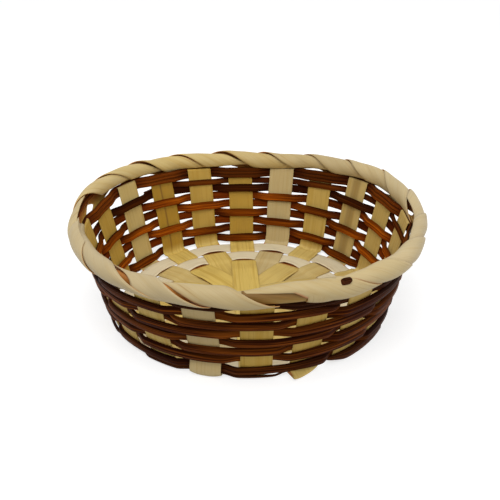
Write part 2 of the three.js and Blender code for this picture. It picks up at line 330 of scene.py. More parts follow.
@dataclass(frozen=True)
class BambooFinish:
    """Split bamboo: fine fibres along the strip, broad streaks, and a satin skin.

    It reads shares of its tones from the mesh: cream, honey, an aged brown that also paints shade on strip
    ends inside the border, and a painted shade colour where other pieces shade it.
    """

    name: str
    golden: Colour
    cream: Colour
    honey: Colour = (0.44, 0.25, 0.022)
    fibre_brown: Colour = (0.24, 0.105, 0.016)
    # Brown of aged marks; also painted shade on the strip ends inside the border
    aged_and_shade_brown: Colour = (0.155, 0.070, 0.011)
    # Painted shade: reddish brown where other pieces shade the bamboo
    painted_shade: Colour = (0.52, 0.125, 0.020)
    fibre_width: float = 0.55 * MM
    fibre_length: float = 30 * MM
    fibre_steps: Span = (0.50, 0.76)
    fibre_share: float = 0.46
    fibre_share_cream: float = 0.30
    streak_width: float = 2.6 * MM
    streak_length: float = 90 * MM
    streak_steps: Span = (0.44, 0.70)
    streak_share: float = 0.5
    streak_share_cream: float = 0.12
    crack_steps: tuple[Span, Span] = ((0.64, 0.74), (0.50, 0.62))
    crack_share: float = 0.35
    blotch_scale: float = 38.0
    # Darkest shade, and what blotches and fibres add to it
    shade: tuple[float, float, float] = (0.80, 0.26, 0.14)
    aged_and_shade_tone: Span = (0.1, 1.8)
    roughness: float = 0.52
    roughness_cream: float = 0.42
    roughness_fibre: float = 0.16
    specular: float = 0.30
    relief: float = 0.10 * MM
    relief_strength: float = 0.8

    def material(self) -> bpy.types.Material:
        """Builds the material.

        Returns:
            The bamboo material, which reads the strip's own map and its shares of each tone.
        """
        material, tree, shader = shader_tree(self.name)
        along, across = tree.split(tree.add("ShaderNodeUVMap", {"uv_map": GRAIN_UV}))
        fibre = tree.noise(tree.combine(along / self.fibre_length, across / self.fibre_width, 0.0), 1.0, 3.0)
        streak = tree.noise(tree.combine(along / self.streak_length, across / self.streak_width, 4.0), 1.0)
        blotch = tree.noise(tree.add("ShaderNodeTexCoord", output="Object"), self.blotch_scale)
        cream = tree.attribute("cream")
        base = tree.mix(tree.attribute("honey"), tree.mix(cream, self.golden, self.cream), self.honey)
        streaks = self.streak_share - (self.streak_share - self.streak_share_cream) * cream
        warm = tree.mix(streak.step(*self.streak_steps) * streaks, base, self.honey)
        fibres = self.fibre_share - (self.fibre_share - self.fibre_share_cream) * cream
        brown = tree.mix(fibre.step(*self.fibre_steps) * fibres, warm, self.fibre_brown)
        crack = streak.step(*self.crack_steps[0]) * fibre.step(*self.crack_steps[1]) * self.crack_share
        cracked = tree.mix(crack, brown, self.fibre_brown)
        darkest, of_blotch, of_fibre = self.shade
        tone = tree.shaded(cracked, darkest + of_blotch * blotch + of_fibre * fibre)
        # Aged brown: real marks on the stakes, and painted shade on the strip ends inside the border
        aged_and_shade_colour = tree.shaded(self.aged_and_shade_brown, self.aged_and_shade_tone[0] + self.aged_and_shade_tone[1] * fibre)
        aged_and_shade = tree.mix(tree.attribute("aged_and_shade"), tone, aged_and_shade_colour)
        smoother = self.roughness - self.roughness_cream
        bump = {"Strength": self.relief_strength, "Distance": self.relief, "Height": fibre + streak}
        tree.fill(shader, {
            # Painted shade, mixed in by its stored share where other pieces shade the bamboo
            "Base Color": tree.mix(tree.attribute("painted_shade"), aged_and_shade, self.painted_shade),
            "Roughness": self.roughness - smoother * cream + self.roughness_fibre * fibre,
            "Normal": tree.add("ShaderNodeBump", None, bump),
            "Specular IOR Level": self.specular,
        })
        return material


@dataclass(frozen=True)
class RodFinish:
    """Dark split rod: glossy bark on the round side, redder grooved wood on the split side.

    It reads from the mesh the place along and across the rod, its seed, and the shares of split side, outside
    of the basket and char.
    """

    name: str
    bark: Colour
    bark_light: Colour
    wood: Colour
    wood_dark: Colour
    char: Colour = (0.012, 0.0028, 0.0014)
    # Pace of each pattern along the rod, in stakes, and across it
    grain_pace: Span = (0.55, 1.0 / 0.22)
    fine_pace: Span = (3.0, 14.0)
    patch_pace: Span = (0.45, 0.3)
    patch_seed: float = 7.0
    bark_steps: Span = (0.42, 0.74)
    wood_steps: Span = (0.34, 0.66)
    groove_turns: float = 8.5
    groove_steps: Span = (0.62, 0.98)
    # Painted shade in the grooves of the split side
    groove_shade_share: float = 0.6
    groove_wander: float = 1.4
    # Painted shade on the wood where the rod passes outside the stakes
    behind_stake_shade: float = 0.82
    sunned_steps: Span = (0.52, 0.70)
    sunned_share: float = 0.5
    scorched_steps: Span = (0.55, 0.74)
    scorched_share: float = 0.72
    # Painted shade on the lower half of the rod
    under_shade_steps: Span = (-0.1, 1.0)
    under_shade_share: float = 0.6
    shade: Span = (0.72, 0.56)
    roughness: float = 0.42
    roughness_split: float = 0.22
    roughness_fine: float = 0.16
    gloss: float = 0.01
    gloss_roughness: float = 0.28
    specular: float = 0.02
    specular_tint: Colour = (1.0, 0.40, 0.12)
    relief: float = 0.22 * MM
    relief_strength: float = 0.9
    relief_shares: Span = (1.4, 0.35)

    def material(self) -> bpy.types.Material:
        """Builds the material.

        Returns:
            The rod material, which reads the rod's own length, width and split side.
        """
        material, tree, shader = shader_tree(self.name)
        along, across = tree.attribute("along"), tree.attribute("across")
        split_side, seed = tree.attribute("split_side"), tree.attribute("seed")
        paces = (self.grain_pace, self.fine_pace, self.patch_pace)
        seeds = (seed, seed, seed + self.patch_seed)
        places = [tree.combine(along * a, across * b, own) for (a, b), own in zip(paces, seeds)]
        grain = tree.noise(places[0], 1.0, 3.0, 0.55)
        fine = tree.noise(places[1], 1.0)
        patch = tree.noise(places[2], 1.0, 1.0)
        bark = tree.mix(grain.step(*self.bark_steps), self.bark, self.bark_light)
        wood = tree.mix(grain.step(*self.wood_steps), self.wood_dark, self.wood)
        # Dark lines along the split side: painted shade in its grooves
        groove = (across * self.groove_turns + seed + self.groove_wander * grain).math("COSINE")
        wood = tree.mix(groove.step(*self.groove_steps) * self.groove_shade_share, wood, self.wood_dark)
        # Painted shade: the wood is darker where the rod passes outside the stakes, behind them as seen from
        # inside the basket
        wood = tree.mix(tree.attribute("outside") * self.behind_stake_shade, wood, self.wood_dark)
        face = tree.mix(split_side, bark, wood)
        sun = (1.0 - patch).step(*self.sunned_steps) * (1.0 - split_side) * self.sunned_share
        sunned = tree.mix(sun, face, self.bark_light)
        scorched = tree.mix(patch.step(*self.scorched_steps) * self.scorched_share, sunned, self.bark)
        charred = tree.mix(tree.attribute("char"), scorched, self.char)
        # Painted shade: the lower half of the rod is darker
        under = (-1.0 * across).step(*self.under_shade_steps)
        shade = (self.shade[0] + self.shade[1] * fine) * (1.0 - self.under_shade_share * under)
        height = grain * self.relief_shares[0] + fine * self.relief_shares[1]
        bump = {"Strength": self.relief_strength, "Distance": self.relief, "Height": height}
        tree.fill(shader, {
            "Base Color": tree.shaded(charred, shade),
            "Roughness": self.roughness + self.roughness_split * split_side + self.roughness_fine * fine,
            "Normal": tree.add("ShaderNodeBump", None, bump),
            "Coat Weight": self.gloss,
            "Coat Roughness": self.gloss_roughness,
            "Specular IOR Level": self.specular,
            "Specular Tint": (*self.specular_tint, 1.0),
        })
        return material


# Main lines


@dataclass(frozen=True)
class Form:
    """Main lines of the basket, shared by every sub-assembly."""

    rim_radius: float
    rim_height: float
    foot_radius: float = 95 * MM
    wall_inset: float = 3.4 * MM
    rim_wave: float = 2.9 * MM
    waves_round: float = 3.0
    wave_tilt: float = 0.6
    wave_heights: Span = (2 * MM, 62 * MM)
    front_wave: float = 0.4
    front_edge: float = 0.1
    bend_below_rim: float = 7.3 * MM
    strip_width: float = 19.4 * MM
    strip_thickness: float = 0.5 * MM
    layer_gap: float = 0.3 * MM
    level_gap: float = 0.2 * MM
    stake_count: int = 20
    back_angle: float = math.radians(92.9)

    @classmethod
    def from_frame(cls) -> "Form":
        """Reads the middle of the rolled border off the hoop inside it, which has six sides.

        Returns:
            The basket's main lines.
        """
        low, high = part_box("rim_core")
        hoop_radius = (high.z - low.z) / 2.0 / math.sin(math.pi / 3.0)
        return cls(rim_radius=high.x - hoop_radius, rim_height=(low.z + high.z) / 2.0)

    @property
    def stake_angle(self) -> float:
        """Angle from one stake to the next."""
        return FULL_TURN / self.stake_count

    @property
    def pitch(self) -> float:
        """Distance from one stake to the next along the rim."""
        return self.stake_angle * self.rim_radius

    @property
    def foot_height(self) -> float:
        """Middle of a strip that lies on the resting plane."""
        return self.strip_thickness / 2.0

    @property
    def layer(self) -> float:
        """Step from one border strip to the one on top of it."""
        return self.strip_thickness + self.layer_gap

    @property
    def flare(self) -> float:
        """Lean of the wall from upright."""
        out = self.rim_radius - self.wall_inset - self.foot_radius
        return math.atan2(out, self.rim_height - self.foot_height)

    @property
    def bend_height(self) -> float:
        """Height where the stakes leave the wall for the border."""
        return self.rim_height - self.bend_below_rim

    def wall_point(self, height: np.ndarray) -> tuple[np.ndarray, np.ndarray]:
        """Radius and height of the wall's line at a height."""
        return self.foot_radius + (height - self.foot_height) * math.tan(self.flare), height

    def wave(self, turn: np.ndarray, height: np.ndarray) -> np.ndarray:
        """Rise of the uneven wall, which grows from the base to the rim and is less at the front.

        Args:
            turn: Direction from the basket's axis.
            height: Height on an even wall.

        Returns:
            How much higher the wall is there.
        """
        at_back = smoothstep(np.sin(turn), -self.front_edge, self.front_edge)
        share = self.front_wave + (1.0 - self.front_wave) * at_back
        share = share * smoothstep(height, *self.wave_heights)
        return share * self.rim_wave * (self.wave_tilt * np.sin(turn) + np.sin(self.waves_round * turn))

    def level(self, number: int) -> float:
        """Middle of a flat piece on a level of the base."""
        return self.foot_height + number * (self.strip_thickness + self.level_gap)

    def angle_of(self, stake: float) -> float:
        """Direction of a stake."""
        return self.back_angle + stake * self.stake_angle


# Meshes


@dataclass
class Band:
    """Closed band of flat sections: rows along it, and points round each section.

    The arrays hold one value for each point, rows first. Tones are the shares of the finish's colours.
    """

    points: np.ndarray
    along: np.ndarray
    across: np.ndarray
    tones: dict[str, np.ndarray]
    cyclic: bool = False

    def faces(self) -> list[list[int]]:
        """Faces of the band's mesh, by numbers of its points.

        Returns:
            Four-sided faces, and an end face on each end of an open band, all pointing out.
        """
        rows, ring = self.points.shape[:2]
        index = np.arange(rows * ring).reshape(rows, ring)
        ahead = np.roll(index, -1, axis=0) if self.cyclic else index[1:]
        here = index if self.cyclic else index[:-1]
        quads = np.stack([here, np.roll(here, -1, 1), np.roll(ahead, -1, 1), ahead], axis=-1)
        quads = quads.reshape(-1, 4)
        faces = quads.tolist()
        if not self.cyclic:
            faces += [index[0, ::-1].tolist(), index[-1].tolist()]
        flat = self.points.reshape(-1, 3)
        a, b, c, d = (flat[quads[:, i]] for i in range(4))
        volume = np.einsum("ij,ij->i", a, np.cross(b - a, d - a) + np.cross(d - c, b - c)).sum()
        return [face[::-1] for face in faces] if volume < 0.0 else faces

    def to_object(self, name: str, material: bpy.types.Material) -> bpy.types.Object:
        """Makes the band a mesh object.

        Args:
            name: The object's name.
            material: Its finish.

        Returns:
            The object, with its own map and tones.
        """
        mesh = bpy.data.meshes.new(name)
        mesh.from_pydata(self.points.reshape(-1, 3).tolist(), [], self.faces())
        mesh.shade_smooth()
        for tone, share in self.tones.items():
            store(mesh, tone, share)
        corner = np.empty(len(mesh.loops), np.int32)
        mesh.loops.foreach_get("vertex_index", corner)
        places = np.stack([self.along.ravel(), self.across.ravel()], axis=-1)[corner]
        mesh.uv_layers.new(name=GRAIN_UV).data.foreach_set("uv", places.astype(np.float32).ravel())
        mesh.materials.append(material)
        return add_object(name, mesh)


def section_ring(top: np.ndarray, bottom: np.ndarray) -> np.ndarray:
    """Points round the sections of a band, with a rounded edge on both sides.

    Args:
        top: Points of the upper face, rows by columns.
        bottom: Points of the lower face, rows by columns.

    Returns:
        Points round each section: lower face, edge, upper face and edge.
    """
    right = 0.5 * (top[:, -1:] + bottom[:, -1:])
    left = 0.5 * (top[:, :1] + bottom[:, :1])
    return np.concatenate([bottom, right, top[:, ::-1], left], axis=1)


def turn_out(mesh: bpy.types.Mesh) -> None:
    """Flips a closed mesh whose faces point inwards.

    Args:
        mesh: The mesh.
    """
    mesh.calc_loop_triangles()
    corners = np.array([[mesh.vertices[v].co[:] for v in t.vertices] for t in mesh.loop_triangles])
    volume = np.einsum("ij,ij->i", corners[:, 0], np.cross(corners[:, 1], corners[:, 2])).sum()
    if volume < 0.0:
        mesh.flip_normals()


def dress(piece: bpy.types.Object, slot: Slot, *nodes: str) -> None:
    """Parents a finished piece to the body and hides the nodes that it stands for.

    Args:
        piece: The piece.
        slot: Its material slot in the record; not used.
        nodes: The nodes that it replaces.
    """
    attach(piece, BODY)
    if nodes:
        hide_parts(*nodes)
    log.info("%s: %d faces", piece.name, len(piece.data.polygons))


# Strips


@dataclass
class StakeStrips:
    """Ten flat strips that cross the base, rise as stakes and are rolled inwards as the border.

    Lists of twenty hold a value for each stake, and dictionaries hold the stakes that differ, by number.
    """

    # Stakes that lean over later, step aside by their own length, or slant in their own way on the border
    late_leans: ClassVar[dict[int, float]] = {11: 11 * MM}
    own_jumps: ClassVar[dict[int, float]] = {8: -1 * MM, 9: 6.8 * MM, 10: 3.5 * MM, 11: 0.0}
    own_slants: ClassVar[dict[int, float]] = {8: math.radians(21.0), 9: math.radians(25.0)}
    # Stakes that end early on the roll, with the turn where they end
    short_ends: ClassVar[dict[int, float]] = {
        stake: math.radians(turn)
        for stake, turn in ((6, 98.0), (7, 106.0), (14, 140.0), (15, 128.0), (16, 132.0))
    }
    # Feet that stand out, seen from outside: at the left edge, at the right, and the height where that ends
    loose_feet: ClassVar[dict[int, tuple[float, float, float]]] = {
        9: (3.5 * MM, 3.5 * MM, 14 * MM), 11: (10 * MM, 2 * MM, 3.5 * MM),
    }

    form: Form
    finish: BambooFinish
    columns: int = 16
    row_length: float = 1.2 * MM
    corner_rows: int = 9
    lead_rows: int = 16
    roll_step: float = math.radians(6.0)
    corner_gap: float = 0.36 * MM
    lead_gap: float = 0.5 * MM
    least_radius: float = 1 * MM
    grain_offset: float = 3.0

    # Base and foot
    stack_order: tuple[int, ...] = (9, 1, 7, 3, 5, 4, 8, 2, 6, 0)
    stack_ramp: float = 16 * MM
    stack_step: float = 0.32 * MM
    ring_lead: float = 4 * MM
    ring_lap: float = 1 * MM
    foot_lap: float = 1.5 * MM
    corner_radius: float = 3 * MM
    foot_curl: float = 1.8 * MM
    curl_radii: Span = (-8 * MM, 1 * MM)
    curl_heights: Span = (2 * MM, 12 * MM)
    curl_power: float = 2.5
    reach_start: float = 16 * MM
    reach_height: float = 0.6 * MM

    # Wall
    wall_heights: Span = (1 * MM, 8 * MM)
    width_spread: Span = (-0.02, 0.03)
    edge_sway: float = 0.45 * MM
    edge_sway_length: float = 60 * MM
    cup: float = 0.25 * MM
    cup_level: float = 0.4
    face_wave: float = 0.16 * MM
    face_wave_length: float = 26 * MM
    face_wave_slant: float = 6 * MM
    base_wave_share: float = 0.25

    # Lean from the wall to the roll, for stakes with the top course inside and outside them: start of the
    # curve from the bend, and the reach of its handles at its start and its end
    leads: tuple[tuple[float, float, float], ...] = (
        (-4.5 * MM, 4.0 * MM, 4.0 * MM), (0.8 * MM, 1.2 * MM, 2.5 * MM))
    lean_before_roll: float = 8.5 * MM
    lean_jump: float = 9.5 * MM
    jump_runs: Span = (-0.4 * MM, 3.2 * MM)
    lean_run: float = 6 * MM

    # Border
    border_run: float = 7 * MM
    border_slant: float = math.radians(28.0)
    slant_spread: float = 0.025
    border_end: float = math.radians(214.0)
    end_spread: float = math.radians(12.0)
    roll_start: float = math.radians(-40.0)
    roll_out: float = 5.2 * MM
    roll_up: float = 5.9 * MM
    roll_drop: float = 1.0 * MM
    edge_lift: float = 2.1 * MM
    lifted_columns: Span = (0.25, 1.0)
    bulge: float = 0.9 * MM
    bulge_level: float = 0.7
    bulge_spread: Span = (0.6, 1.3)
    puff: float = 0.3 * MM
    puff_length: float = 30 * MM
    squeeze: float = 0.2
    squeeze_angles: Span = (math.radians(225.0), math.radians(45.0))
    # Waves round the rim, their phase and their share
    rim_wobble: float = 0.8 * MM
    wobble_out: tuple[tuple[float, float, float], ...] = ((3.0, 1.0, 1.0), (7.0, 0.0, 0.7), (11.0, 2.0, 0.6))
    wobble_up: tuple[tuple[float, float, float], ...] = ((6.0, 4.0, 0.5), (13.0, 0.0, 0.5))
    # Where the edges stand open: run of the middle at the back, how much earlier at the front, spread, reach
    open_run: float = 26 * MM
    open_earlier: float = 7.5 * MM
    open_spread: float = 1.5 * MM
    open_reach: float = 16 * MM
    loose_stake: int = 11
    loose_runs: Span = (14 * MM, 22 * MM)
    gapes: tuple[float, ...] = (0.1, 0.25, 0.2, 0.1, 0.3, 0.1, 0.0, 0.0, -0.7, 0.95,
                                0.18, -0.85, 0.2, 0.1, 0.0, 0.1, 0.2, 0.3, 0.25, 0.35)
    lifts: tuple[float, ...] = (0.8, 1.0, 0.7, 0.9, 0.5, 0.3, 0.2, 0.2, 0.8, 1.0,
                                0.5, 0.5, 0.6, 0.5, 0.4, 0.5, 0.8, 0.6, 1.0, 0.7)

    # Strip ends inside the border: first and last stake, and tones, whose darker shares are painted shade
    # inside the roll
    tucks: tuple[tuple[float, float, dict], ...] = (
        (7.3, 8.4, {"honey": 0.2, "aged_and_shade": 0.5, "painted_shade": 0.55}),
        (8.5, 9.5, {"honey": 0.5, "aged_and_shade": 0.1, "painted_shade": 0.6}),
        (9.75, 11.0, {"honey": 0.3, "aged_and_shade": 0.90, "cream": 0.3}),
    )
    tuck_turns: Span = (math.radians(-60.0), math.radians(115.0))
    tuck_inset: float = 1.9 * MM
    tuck_rows: int = 40
    tuck_columns: int = 15
    tuck_grain: Span = (12 * MM, 9 * MM)
    tuck_shade_fade: float = 0.4
    tuck_shade_fade_turns: Span = (-0.5, 0.8)

    # Tones
    honey_shares: tuple[float, ...] = (0.85, 0.65, 1.0, 0.0, 0.7, 0.6, 0.5, 0.3, 0.2, 0.15,
                                       0.55, 0.5, 0.3, 0.2, 0.3, 0.2, 0.3, 0.2, 0.4, 0.0)
    cream_shares: tuple[float, ...] = (0.0, 0.1, 0.0, 0.45, 0.1, 0.1, 0.2, 0.3, 0.3, 0.85,
                                       0.1, 0.2, 0.3, 0.4, 0.3, 0.4, 0.3, 0.5, 0.2, 0.75)
    border_creams: tuple[float, ...] = (0.75, 0.6, 0.55, 0.5, 0.6, 0.7, 0.85, 1.0, 1.05, 1.05,
                                        0.9, 0.85, 0.85, 0.9, 1.0, 1.0, 1.0, 0.95, 0.9, 0.85)
    lining_cream: float = 0.3
    # Painted shade: on the inner face inside the roll, on the spokes under the rings, and where a strip lies
    # under its neighbour's lifted edge
    lining_painted_shade: float = 0.7
    ring_painted_shade: float = 0.8
    ring_shade_inset: float = 0.6 * MM
    lap_painted_shade: float = 0.9
    lap_columns: Span = (0.80, 0.90)
    lap_runs: Span = (6 * MM, 12 * MM)
    stake_age: float = 0.08
    # Brown share on the border ends: more at the back, and a little at the front
    back_brown: float = 0.15
    back_steps: Span = (0.7, 1.0)
    front_brown: float = 0.09
    front_steps: Span = (0.5, 1.0)
    # A split down one stake, and a dark band down another: places and widths are shares of half a strip
    split_stake: int = 2
    split_age: float = 0.70
    split_tint: float = 0.04
    split_place: float = 0.12
    split_wander: float = 0.05
    split_wander_length: float = 40 * MM
    split_width: float = 0.14
    banded_stake: int = 17
    band_age: float = 0.40
    band_place: float = 0.1
    band_widths: Span = (0.55, 0.25)

    @property
    def count(self) -> int:
        """Number of strips."""
        return self.form.stake_count // 2

    @property
    def corner_start(self) -> float:
        """Distance from the centre where a strip starts to bend up."""
        return self.form.foot_radius - self.corner_cut

    @property
    def corner_cut(self) -> float:
        """Length that the rounded corner takes from the base and from the wall."""
        return self.corner_radius * math.tan((math.pi / 2.0 - self.form.flare) / 2.0)

    def base_line(self, strip: int) -> tuple[np.ndarray, np.ndarray]:
        """Middle of a spoke over the base, from the centre to the corner.

        Args:
            strip: Number of the strip.

        Returns:
            Distances from the centre, and heights.
        """
        form = self.form
        upper = strip % 2 == 0
        spoke, inner, outer = (1, 0, 2) if upper else (0, 2, 0)
        crossing = form.strip_width / 2.0 / math.sin(form.stake_angle)
        stack_end = crossing + (self.stack_ramp / 2.0 if upper else 0.0)
        inner_ring, outer_ring = BaseRings.inner_radii, BaseRings.outer_radii
        stack_height = form.foot_height + self.stack_step * self.stack_order[strip]
        # Start and end of each ramp
        ramps = [
            (stack_end, stack_end + self.stack_ramp),
            (inner_ring[0] - self.ring_lead, inner_ring[0] + self.ring_lap),
            (inner_ring[1] - self.ring_lap, outer_ring[0] + self.ring_lap),
            (outer_ring[1] - self.foot_lap, self.corner_start),
        ]
        heights = [stack_height] + [form.level(level) for level in (spoke, inner, outer, 0)]
        radius = np.arange(0.0, self.corner_start - self.corner_gap, self.row_length)
        height = np.full_like(radius, stack_height)
        for ramp, before, after in zip(ramps, heights, heights[1:]):
            height += (after - before) * smoothstep(radius, *ramp)
        return radius, height

    def roll_point(self, turn: np.ndarray) -> tuple[np.ndarray, np.ndarray]:
        """Radius and height on the border's roll, which is a little taller than wide."""
        return (self.form.rim_radius + self.roll_out * np.cos(turn),
                self.form.rim_height - self.roll_drop + self.roll_up * np.sin(turn))

    def lead_line(self, strip: int) -> tuple[np.ndarray, np.ndarray]:
        """Curve of a stake from the wall out to the roll: it starts lower where the top course lies inside.

        Args:
            strip: Number of the strip.

        Returns:
            Radii and heights.
        """
        form = self.form
        start_rise, leave_reach, arrive_reach = self.leads[strip % 2]
        start = np.array(form.wall_point(form.bend_height + start_rise))
        end = np.array(self.roll_point(self.roll_start))
        leave = start + leave_reach * np.array([math.sin(form.flare), math.cos(form.flare)])
        arrive = end + arrive_reach * np.array([math.sin(self.roll_start), -math.cos(self.roll_start)])
        t = np.linspace(0.0, 1.0, self.lead_rows)[:, None]
        s = 1.0 - t
        curve = s ** 3 * start + 3 * s ** 2 * t * leave + 3 * s * t ** 2 * arrive + t ** 3 * end
        return curve[:, 0], curve[:, 1]

    def profile(self, strip: int, stake: int) -> dict[str, np.ndarray]:
        """Middle line of a strip from the centre of the base to its tucked end.

        Args:
            strip: Number of the strip.
            stake: Number of the stake that this half makes.

        Returns:
            Arrays by name, as single columns: radius, height, inward normal, length along the strip, and run,
            which is the length past the start of the lean.
        """
        form = self.form
        turn = np.linspace(0.0, math.pi / 2.0 - form.flare, self.corner_rows)
        corner = (self.corner_start + self.corner_radius * np.sin(turn),
                  form.foot_height + self.corner_radius * (1.0 - np.cos(turn)))
        lead = self.lead_line(strip)
        wall_start, wall_end = corner[1][-1] + self.row_length, lead[1][0] - self.lead_gap
        wall = form.wall_point(np.arange(wall_start, wall_end, self.row_length))
        spread = self.end_spread * Draw.BORDER_END.generator(stake).uniform(-1.0, 1.0)
        end = self.short_ends.get(stake, self.border_end + spread)
        roll = self.roll_point(np.arange(self.roll_start + self.roll_step, end, self.roll_step))
        parts = [self.base_line(strip), corner, wall, lead, roll]
        radius, height = (np.concatenate([part[axis] for part in parts]) for axis in (0, 1))
        slope_r, slope_z = np.gradient(radius), np.gradient(height)
        slope = np.hypot(slope_r, slope_z)
        length = np.concatenate([[0.0], np.cumsum(np.hypot(np.diff(radius), np.diff(height)))])
        lean_start = length[-len(roll[0])] - self.lean_before_roll
        columns = {
            "radius": radius, "height": height, "length": length, "run": length - lean_start,
            "normal_r": -slope_z / slope, "normal_z": slope_r / slope,
        }
        return {name: value[:, None] for name, value in columns.items()}

    def lean(self, stake: int, run: np.ndarray, draw: np.random.Generator) -> tuple[np.ndarray, ...]:
        """Way of a strip along the rim, once it leans over.

        Args:
            stake: Number of the stake.
            run: Length past the start of the lean.
            draw: The stake's random draws.

        Returns:
            The strip's slant, its middle along the rim, and the length that the slant adds.
        """
        late = run - self.late_leans.get(stake, 0.0)
        past = np.maximum(late, 0.0)
        end_slant = self.own_slants.get(stake, self.border_slant + draw.normal(0.0, self.slant_spread))
        slant = math.pi / 2.0 + (end_slant - math.pi / 2.0) * smoothstep(late, 0.0, self.lean_run)
        rise = np.diff(past, axis=0, prepend=past[:1])
        jump = self.own_jumps.get(stake, self.lean_jump) * smoothstep(late, *self.jump_runs)
        centre = -np.cumsum(rise / np.tan(slant), axis=0) - jump
        return slant, centre, np.cumsum(rise / np.sin(slant), axis=0) - past

    def half(self, strip: int, stake: int) -> dict[str, np.ndarray]:
        """One half of a strip, from the centre of the base to one tucked end.

        Args:
            strip: Number of the strip.
            stake: Number of the stake that this half makes.

        Returns:
            Arrays by name, of the inner and the outer face, rows by columns: points, along, across and tones.
        """
        form = self.form
        draw = Draw.STAKE.generator(stake)
        line = self.profile(strip, stake)
        run, length = line["run"], line["length"]
        slant, centre, slide = self.lean(stake, run, draw)
        border = smoothstep(run, 0.0, self.border_run)
        in_wall = smoothstep(line["height"], *self.wall_heights) * (line["radius"] > self.corner_start)
        half_width = form.strip_width * (1.0 + draw.uniform(*self.width_spread)) / 2.0
        column = np.linspace(-1.0, 1.0, self.columns + 1)[None, :]
        column = column + self.gapes[stake] * self.opening(stake, run) * (1.0 - column) / 2.0
        sway = self.edge_sway * ripple(length, self.edge_sway_length, Draw.EDGE_SWAY.seed(stake))
        along_rim = centre + column * half_width / np.sin(slant) + in_wall * (1.0 - border) * sway
        outward = self.border_relief(stake, run, column, along_rim - centre, border)
        offset = self.face_relief(stake, length, column, in_wall, border) - outward
        curl, reach = self.foot_shift(stake, line, column)
        faces = []
        for side in (1.0, -1.0):
            shift = offset + side * form.strip_thickness / 2.0
            radius = line["radius"] + line["normal_r"] * shift + reach
            height = line["height"] + line["normal_z"] * shift + curl
            faces.append(self.place(form.angle_of(stake), radius, height, along_rim, in_wall, border))
        along = length + slide - column * half_width / np.tan(slant)
        maps = {"along": (along, along), "across": (column * half_width, column * half_width)}
        shares = {**maps, **self.tones(strip, stake, line, column, in_wall, border)}
        flat = np.ones_like(along)
        return {"points": np.stack(faces),
                **{name: np.stack([share * flat for share in pair]) for name, pair in shares.items()}}

    def tones(self, strip: int, stake: int, line: dict[str, np.ndarray], column: np.ndarray,
              in_wall: np.ndarray, border: np.ndarray) -> dict[str, tuple[np.ndarray, np.ndarray]]:
        """Shares of the finish's colours on one half of a strip.

        Args:
            strip: Number of the strip.
            stake: Number of the stake.
            line: Middle line of this half.
            column: Place across the strip.
            in_wall: Share by which the strip is part of the wall.
            border: Share by which it is part of the border.

        Returns:
            Shares on the inner and the outer face, by name.
        """
        cream, honey = self.cream_shares[stake], self.honey_shares[stake]
        upright = in_wall * (1.0 - border)
        aged_and_shade = upright * self.marks(stake, column, line["length"]) + border * self.border_brown(stake)
        # Painted shade under a neighbour's lifted edge, and on the spokes where a ring lies over them
        lap = smoothstep(-column, *self.lap_columns) * smoothstep(line["run"], *self.lap_runs)
        ring = BaseRings.inner_radii if strip % 2 == 0 else BaseRings.outer_radii
        shaded = np.abs(line["radius"] - sum(ring) / 2.0) < (ring[1] - ring[0]) / 2.0 - self.ring_shade_inset
        under_ring = (1.0 - in_wall) * shaded
        return {
            "cream": (cream + (self.lining_cream - cream) * border,
                      cream * (1.0 - border) + self.border_creams[stake] * border),
            "honey": (honey * in_wall, honey * upright),
            "aged_and_shade": (aged_and_shade, aged_and_shade),
            # Painted shade inside the roll, under the rings and under lifted edges
            "painted_shade": (np.maximum(self.lining_painted_shade * border, self.ring_painted_shade * under_ring),
                       self.lap_painted_shade * lap * (self.gapes[stake] > 0.0)),
        }

    def marks(self, stake: int, column: np.ndarray, length: np.ndarray) -> np.ndarray:
        """Brown share of a stake's face: even on most, a split on one and a dark band on another.

        Args:
            stake: Number of the stake.
            column: Place across the strip.
            length: Length along the strip.

        Returns:
            Share of brown at each point.
        """
        even = self.stake_age * Draw.STAKE_TONE.generator(stake).uniform(0.0, 1.0)
        if stake == self.split_stake:
            wander = self.split_wander * ripple(length, self.split_wander_length, Draw.MARKS.seed())
            aside = np.abs(column - self.split_place - wander)
            return even + self.split_tint + self.split_age * smoothstep(-aside, -self.split_width, 0.0)
        if stake == self.banded_stake:
            outer, inner = self.band_widths
            return even + self.band_age * smoothstep(-np.abs(column - self.band_place), -outer, -inner)
        return even + 0.0 * column

    def border_brown(self, stake: int) -> float:
        """Brown share of a stake's border end: more at the back, and a little at the front."""
        back = math.sin(self.form.angle_of(stake))
        return (self.back_brown * float(smoothstep(back, *self.back_steps))
                + self.front_brown * float(smoothstep(-back, *self.front_steps)))

    def foot_shift(self, stake: int, line: dict[str, np.ndarray],
                   column: np.ndarray) -> tuple[np.ndarray, np.ndarray]:
        """Shift of a foot: its edges curl up, and a loose one stands out past the others.

        Args:
            stake: Number of the stake.
            line: Middle line of its half of the strip.
            column: Place across the strip.

        Returns:
            Rise and outward shift of each point.
        """
        from_corner, height = line["radius"] - self.corner_start, line["height"]
        at_foot = smoothstep(from_corner, *self.curl_radii) * (1.0 - smoothstep(height, *self.curl_heights))
        left, right, reach_end = self.loose_feet.get(stake, (0.0, 0.0, self.curl_heights[0]))
        out = smoothstep(from_corner, -self.reach_start, 0.0)
        out = out * (1.0 - smoothstep(height, self.reach_height, reach_end))
        curl = self.foot_curl * at_foot * np.abs(column) ** self.curl_power
        return curl, (left + (right - left) * (column + 1.0) / 2.0) * out

